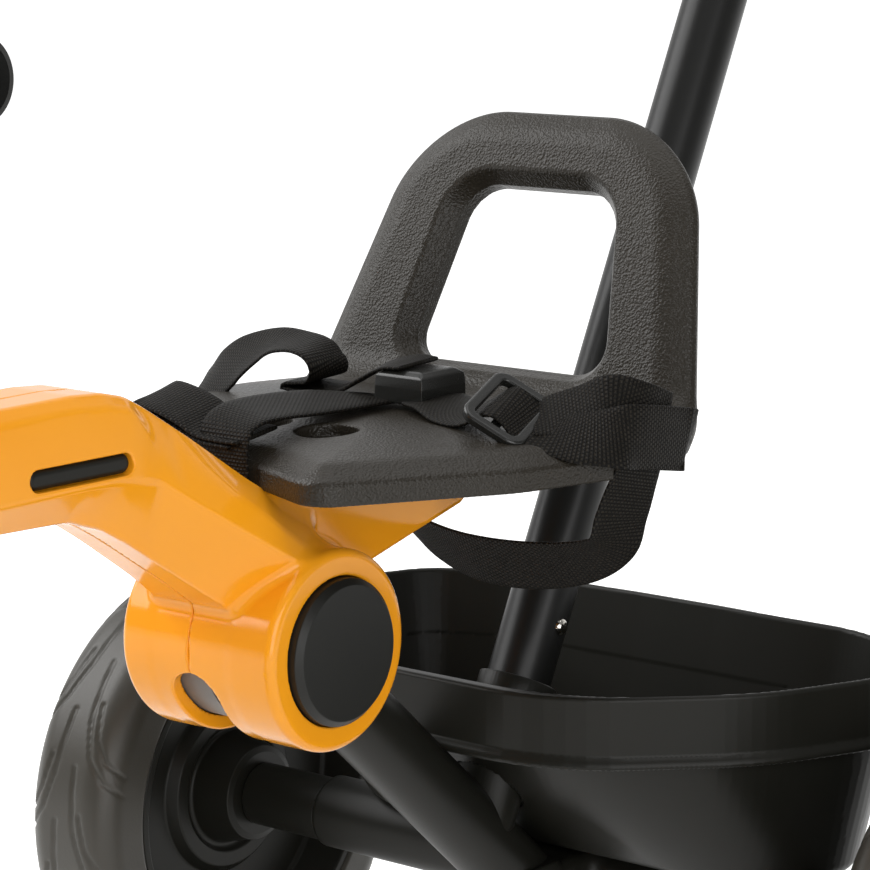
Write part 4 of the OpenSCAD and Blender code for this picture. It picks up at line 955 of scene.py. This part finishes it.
pedal = dict(wide=68.0, long=54.0, thick=17.0, edge=4.5, ribStart=5.0, ribPitch=9.0, grooveHalf=1.3,
             grooveDeep=1.6, border=6.0, hole=5.2)
crank = dict(inner=48.0, thick=10.0, endR=11.0, waist=2.5, pin=4.8, hole=6.1)
for name, side in sides:
    pivot = fromHub(joints[name + "_pedal_spin"]["pos_m"])
    low, high = nodeBox("pedal_" + name)
    middle = (low + high) / 2

    def pedalField(x, y, z):
        gx, gy, gz = x - middle[0], y - pivot[1], z - pivot[2]
        wide, tall = pedal["wide"] / 2, pedal["thick"] / 2
        made = boxField([(gx, wide), (gy, pedal["long"] / 2), (gz, tall)], pedal["edge"])
        pitch = pedal["ribPitch"]
        groove = np.abs((np.abs(gy) - pedal["ribStart"]) % pitch - pitch / 2) - pedal["grooveHalf"]
        groove = np.maximum(groove, tall - pedal["grooveDeep"] - np.abs(gz))
        groove = np.maximum(groove, np.abs(gx) - wide + pedal["border"])
        made = roundAnd(made, -groove, 0.8)
        return np.maximum(made, pedal["hole"] - np.hypot(gy, gz))

    dress(netPiece("pedalTread" + name.title(), pedalField, low - 3, high + 3, 1.0), tpeGrip, "pedal_" + name)

    low, high = nodeBox("crank_arm_" + name)

    def crankField(x, y, z):
        reach = pivot[1:] - frontAxle[1:]
        size = np.linalg.norm(reach)
        gy, gz = y - frontAxle[1], z - frontAxle[2]
        run = (gy * reach[0] + gz * reach[1]) / size
        off = (gy * reach[1] - gz * reach[0]) / size
        waist = crank["waist"] * np.sin(np.clip(run / size, 0, 1) * math.pi)
        bar = np.hypot(run - np.clip(run, 0, size), off) - crank["endR"] + waist
        out = side * x - crank["inner"]
        made = roundAnd(bar, np.maximum(-out, out - crank["thick"]), 2.5)
        pinEnd = np.max(np.abs([low[0], high[0]])) - crank["inner"]
        pin = roundAnd(np.hypot(y - pivot[1], z - pivot[2]) - crank["pin"], np.maximum(-out, out - pinEnd), 1)
        return np.maximum(np.minimum(made, pin), crank["hole"] - np.hypot(gy, gz))

    dress(netPiece("crankArm" + name.title(), crankField, low - 3, high + 3, 1.0), satinPp,
          "crank_arm_" + name)


# Grips: ribbed handlebar grips and the push handle's sleeve

barGrip = dict(start=73.0, length=96.0, radius=14.0, core=11.2, ribs=9)
handleGrip = dict(start=22.0, length=93.0, radius=15.4, core=11.2, ribs=8)


def gripProfile(size):
    length, radius, core, ribs = (size[key] for key in ("length", "radius", "core", "ribs"))
    made = [(0, core), (0, radius + 1.5), (4, radius + 1.5), (6, radius - 1)]
    pitch = (length - 18) / ribs
    for i in range(ribs):
        at = 8 + i * pitch
        made += [(at, radius - 1.2), (at + pitch * 0.3, radius), (at + pitch * 0.7, radius),
                 (at + pitch * 0.95, radius - 1.2)]
    made += [(length - 6, radius), (length, radius - 3), (length, core)]
    return filleted(made, [0.4] + [0.8] * (len(made) - 2) + [0.4], steps=3)


for name, side in sides:
    for piece, node, middle, size in (("barGrip", "bar_grip_", barAt, barGrip),
                                      ("handleGrip", "handle_grip_", handleAt, handleGrip)):
        start = middle + acrossX * side * size["start"]
        dress(lathe(piece + name.title(), gripProfile(size), start, acrossX * side), tpeGrip, node + name)
print("steering and grips done")


# Turned pieces: tubes and the grooved drum

pushTube = dict(long=799.6, outer=14.0, inner=12.4, below=9.0)  # below is how far it goes into its collar
handleBar = dict(long=219.0, outer=11.0, inner=9.4)
handlebarTube = dict(long=330.0, outer=11.0, inner=9.4)
tubes = [("pushTube", "push_tube", pushTube, pushFoot - pushAxis * pushTube["below"], pushAxis),
         ("handleBar", "handle_bar", handleBar, handleAt - acrossX * handleBar["long"] / 2, acrossX),
         ("handlebarTube", "handlebar", handlebarTube, barAt - acrossX * handlebarTube["long"] / 2, acrossX)]
for name, node, size, start, axis in tubes:
    profile = pipe(size["long"], size["outer"], size["inner"], [0.3, 0.7, 0.7, 0.3])
    dress(lathe(name, profile, start, axis), powderTube, node)
drum = dict(radius=32.8, floor=31.6, first=27.6, last=28.8, long=49.2, bore=6.6)


def drumProfile(radius, floor, first, last, long, bore):
    made = [(0, bore), (0, radius), (first, radius), (first, floor), (last, floor), (last, radius),
            (long, radius), (long, bore)]
    return filleted(made, [0.4, 1, 0.3, 0.2, 0.2, 0.3, 1, 0.4], steps=4)


drumStart = acrossX * -drum["long"] / 2
dress(lathe("pivotDrum", drumProfile(**drum), drumStart, acrossX), nylonGrey, "pivot_drum")


# Pieces that keep their CAD shape get softened edges and a finish

keptNodes = {
    powderTube: ["steering_column"],
    satinPp: ["push_socket", "socket_collar", "handle_tee", "head_bush_upper", "head_bush_lower",
              "hub_cap_left", "hub_cap_right"],
    zincSteel: ["shell_screws", "pivot_shaft", "seat_screws", "button_spring_left", "button_spring_right",
                "axle_rod", "axle_nuts", "basket_screws", "push_spigot", "clamp_bolt", "crank_axle"],
    nickel: ["snap_clip"],
}
for finish, nodes in keptNodes.items():
    for name in nodes:
        node = frame["nodes"][name]
        node.data.materials.clear()
        node.data.materials.append(finish)
        joined = node.modifiers.new("join", "WELD")
        joined.merge_threshold = 1e-6
        if not name.startswith("button_spring"):
            softened = node.modifiers.new("soft edges", "BEVEL")
            softened.width = 0.0005
            softened.segments = 2
            softened.limit_method = "ANGLE"
            softened.angle_limit = math.radians(38)
            softened.harden_normals = True
        node.data.shade_smooth()
print("CAD nodes dressed")


# Floor, light and camera

floorMesh = bpy.data.meshes.new("floor")
floorReach = 60.0
corners = [(floorReach * a, floorReach * b, 0) for a, b in ((-1, -1), (1, -1), (1, 1), (-1, 1))]
floorMesh.from_pydata(corners, [], [(0, 1, 2, 3)])
floor = intoScene("floor", floorMesh)

paper = bpy.data.materials.new("matt white paper")  # seamless studio paper: flat white, only a soft shadow
floorMesh.materials.append(paper)
world = bpy.data.worlds.new("studio")
bpy.context.scene.world = world
rayKinds = {}
for white in (paper, world):
    white.use_nodes = True
    white.node_tree.nodes.clear()
    rays = addNode(white.node_tree, "ShaderNodeLightPath")
    clear = addNode(white.node_tree, "ShaderNodeMath", {"operation": "MAXIMUM"},
                    {0: rays.outputs["Is Camera Ray"], 1: rays.outputs["Is Transmission Ray"]})
    rayKinds[white] = (clear.outputs[0], rays.outputs["Is Glossy Ray"])

tree = paper.node_tree
clear, glossy = rayKinds[paper]
seen = addNode(tree, "ShaderNodeMath", {"operation": "MAXIMUM"}, {0: clear, 1: glossy})
spot = addNode(tree, "ShaderNodeTexCoord")
away = addNode(tree, "ShaderNodeVectorMath", {"operation": "LENGTH"}, {0: spot.outputs["Object"]})
far = addNode(tree, "ShaderNodeMapRange", {"From Min": 0.8, "From Max": 3.5, "To Min": 0.6, "To Max": 0.95},
              {"Value": away.outputs["Value"]})  # the lamps fall off with distance, the paper stays white
lift = addNode(tree, "ShaderNodeMath", {"operation": "MULTIPLY"}, {0: seen.outputs[0], 1: far.outputs[0]})
matt = addNode(tree, "ShaderNodeBsdfDiffuse", {"Color": linear("#F2F2F0")})
glow = addNode(tree, "ShaderNodeEmission", {"Color": linear("#FFFFFF")}, {"Strength": lift.outputs[0]})
both = addNode(tree, "ShaderNodeAddShader", {}, {0: matt.outputs[0], 1: glow.outputs[0]})
addNode(tree, "ShaderNodeOutputMaterial", {}, {"Surface": both.outputs[0]})

tree = world.node_tree
clear, glossy = rayKinds[world]
way = addNode(tree, "ShaderNodeTexCoord")
facing = addNode(tree, "ShaderNodeVectorMath", {"operation": "DOT_PRODUCT", 1: (-0.62, 0.78, 0.1)},
                 {0: way.outputs["Generated"]})
sweep = addNode(tree, "ShaderNodeMapRange", {"From Min": 0.1, "From Max": 0.8, "To Min": 0.2, "To Max": 1.0},
                {"Value": facing.outputs["Value"]})  # a white sweep stands behind, the rest is dim
mirrored = addNode(tree, "ShaderNodeMath", {"operation": "MULTIPLY"}, {0: glossy, 1: sweep.outputs[0]})
level = addNode(tree, "ShaderNodeMapRange", {"To Min": 0.26, "To Max": 1.0}, {"Value": clear})
level = addNode(tree, "ShaderNodeMath", {"operation": "MAXIMUM"},
                {0: level.outputs[0], 1: mirrored.outputs[0]})
sky = addNode(tree, "ShaderNodeBackground", {"Color": linear("#FFFFFF")}, {"Strength": level.outputs[0]})
addNode(tree, "ShaderNodeOutputWorld", {}, {"Surface": sky.outputs[0]})

lampAim = Vector((0, 0.05, 0.32))
lamps = [("key softbox", (-1.9, -0.9, 1.9), (2.0, 2.0), 58), ("near fill", (2.2, -1.4, 0.95), (2.0, 1.6), 35),
         ("overhead", (0.2, 0.0, 2.7), (2.2, 2.2), 24)]
for name, place, size, power in lamps:
    lamp = bpy.data.lights.new(name, "AREA")
    lamp.shape = "RECTANGLE"
    lamp.size, lamp.size_y = size
    lamp.energy = power
    holder = intoScene(name, lamp)
    holder.location = place
    holder.rotation_mode = "QUATERNION"
    holder.rotation_quaternion = (lampAim - Vector(place)).to_track_quat("-Z", "Y")

shot = dict(azimuth=39.0, elevation=10.0, place=(810.4, -891.5, 290.5), focalPx=3200.0, framePx=870.0)
camera = bpy.data.cameras.new("photo view")
camera.sensor_width = 36
camera.lens = shot["focalPx"] / shot["framePx"] * camera.sensor_width
camera.clip_end = 200
viewer = intoScene("photo view", camera)
viewer.location = Vector(hubAt + np.array(shot["place"]) / 1000)
turn = math.radians(shot["azimuth"])
tip = math.radians(shot["elevation"])
back = Vector((math.sin(turn) * math.cos(tip), -math.cos(turn) * math.cos(tip), math.sin(tip)))
viewer.rotation_mode = "QUATERNION"
viewer.rotation_quaternion = (-back).to_track_quat("-Z", "Y")
bpy.context.scene.camera = viewer
bpy.context.scene.view_settings.view_transform = "Standard"

print("studio set")
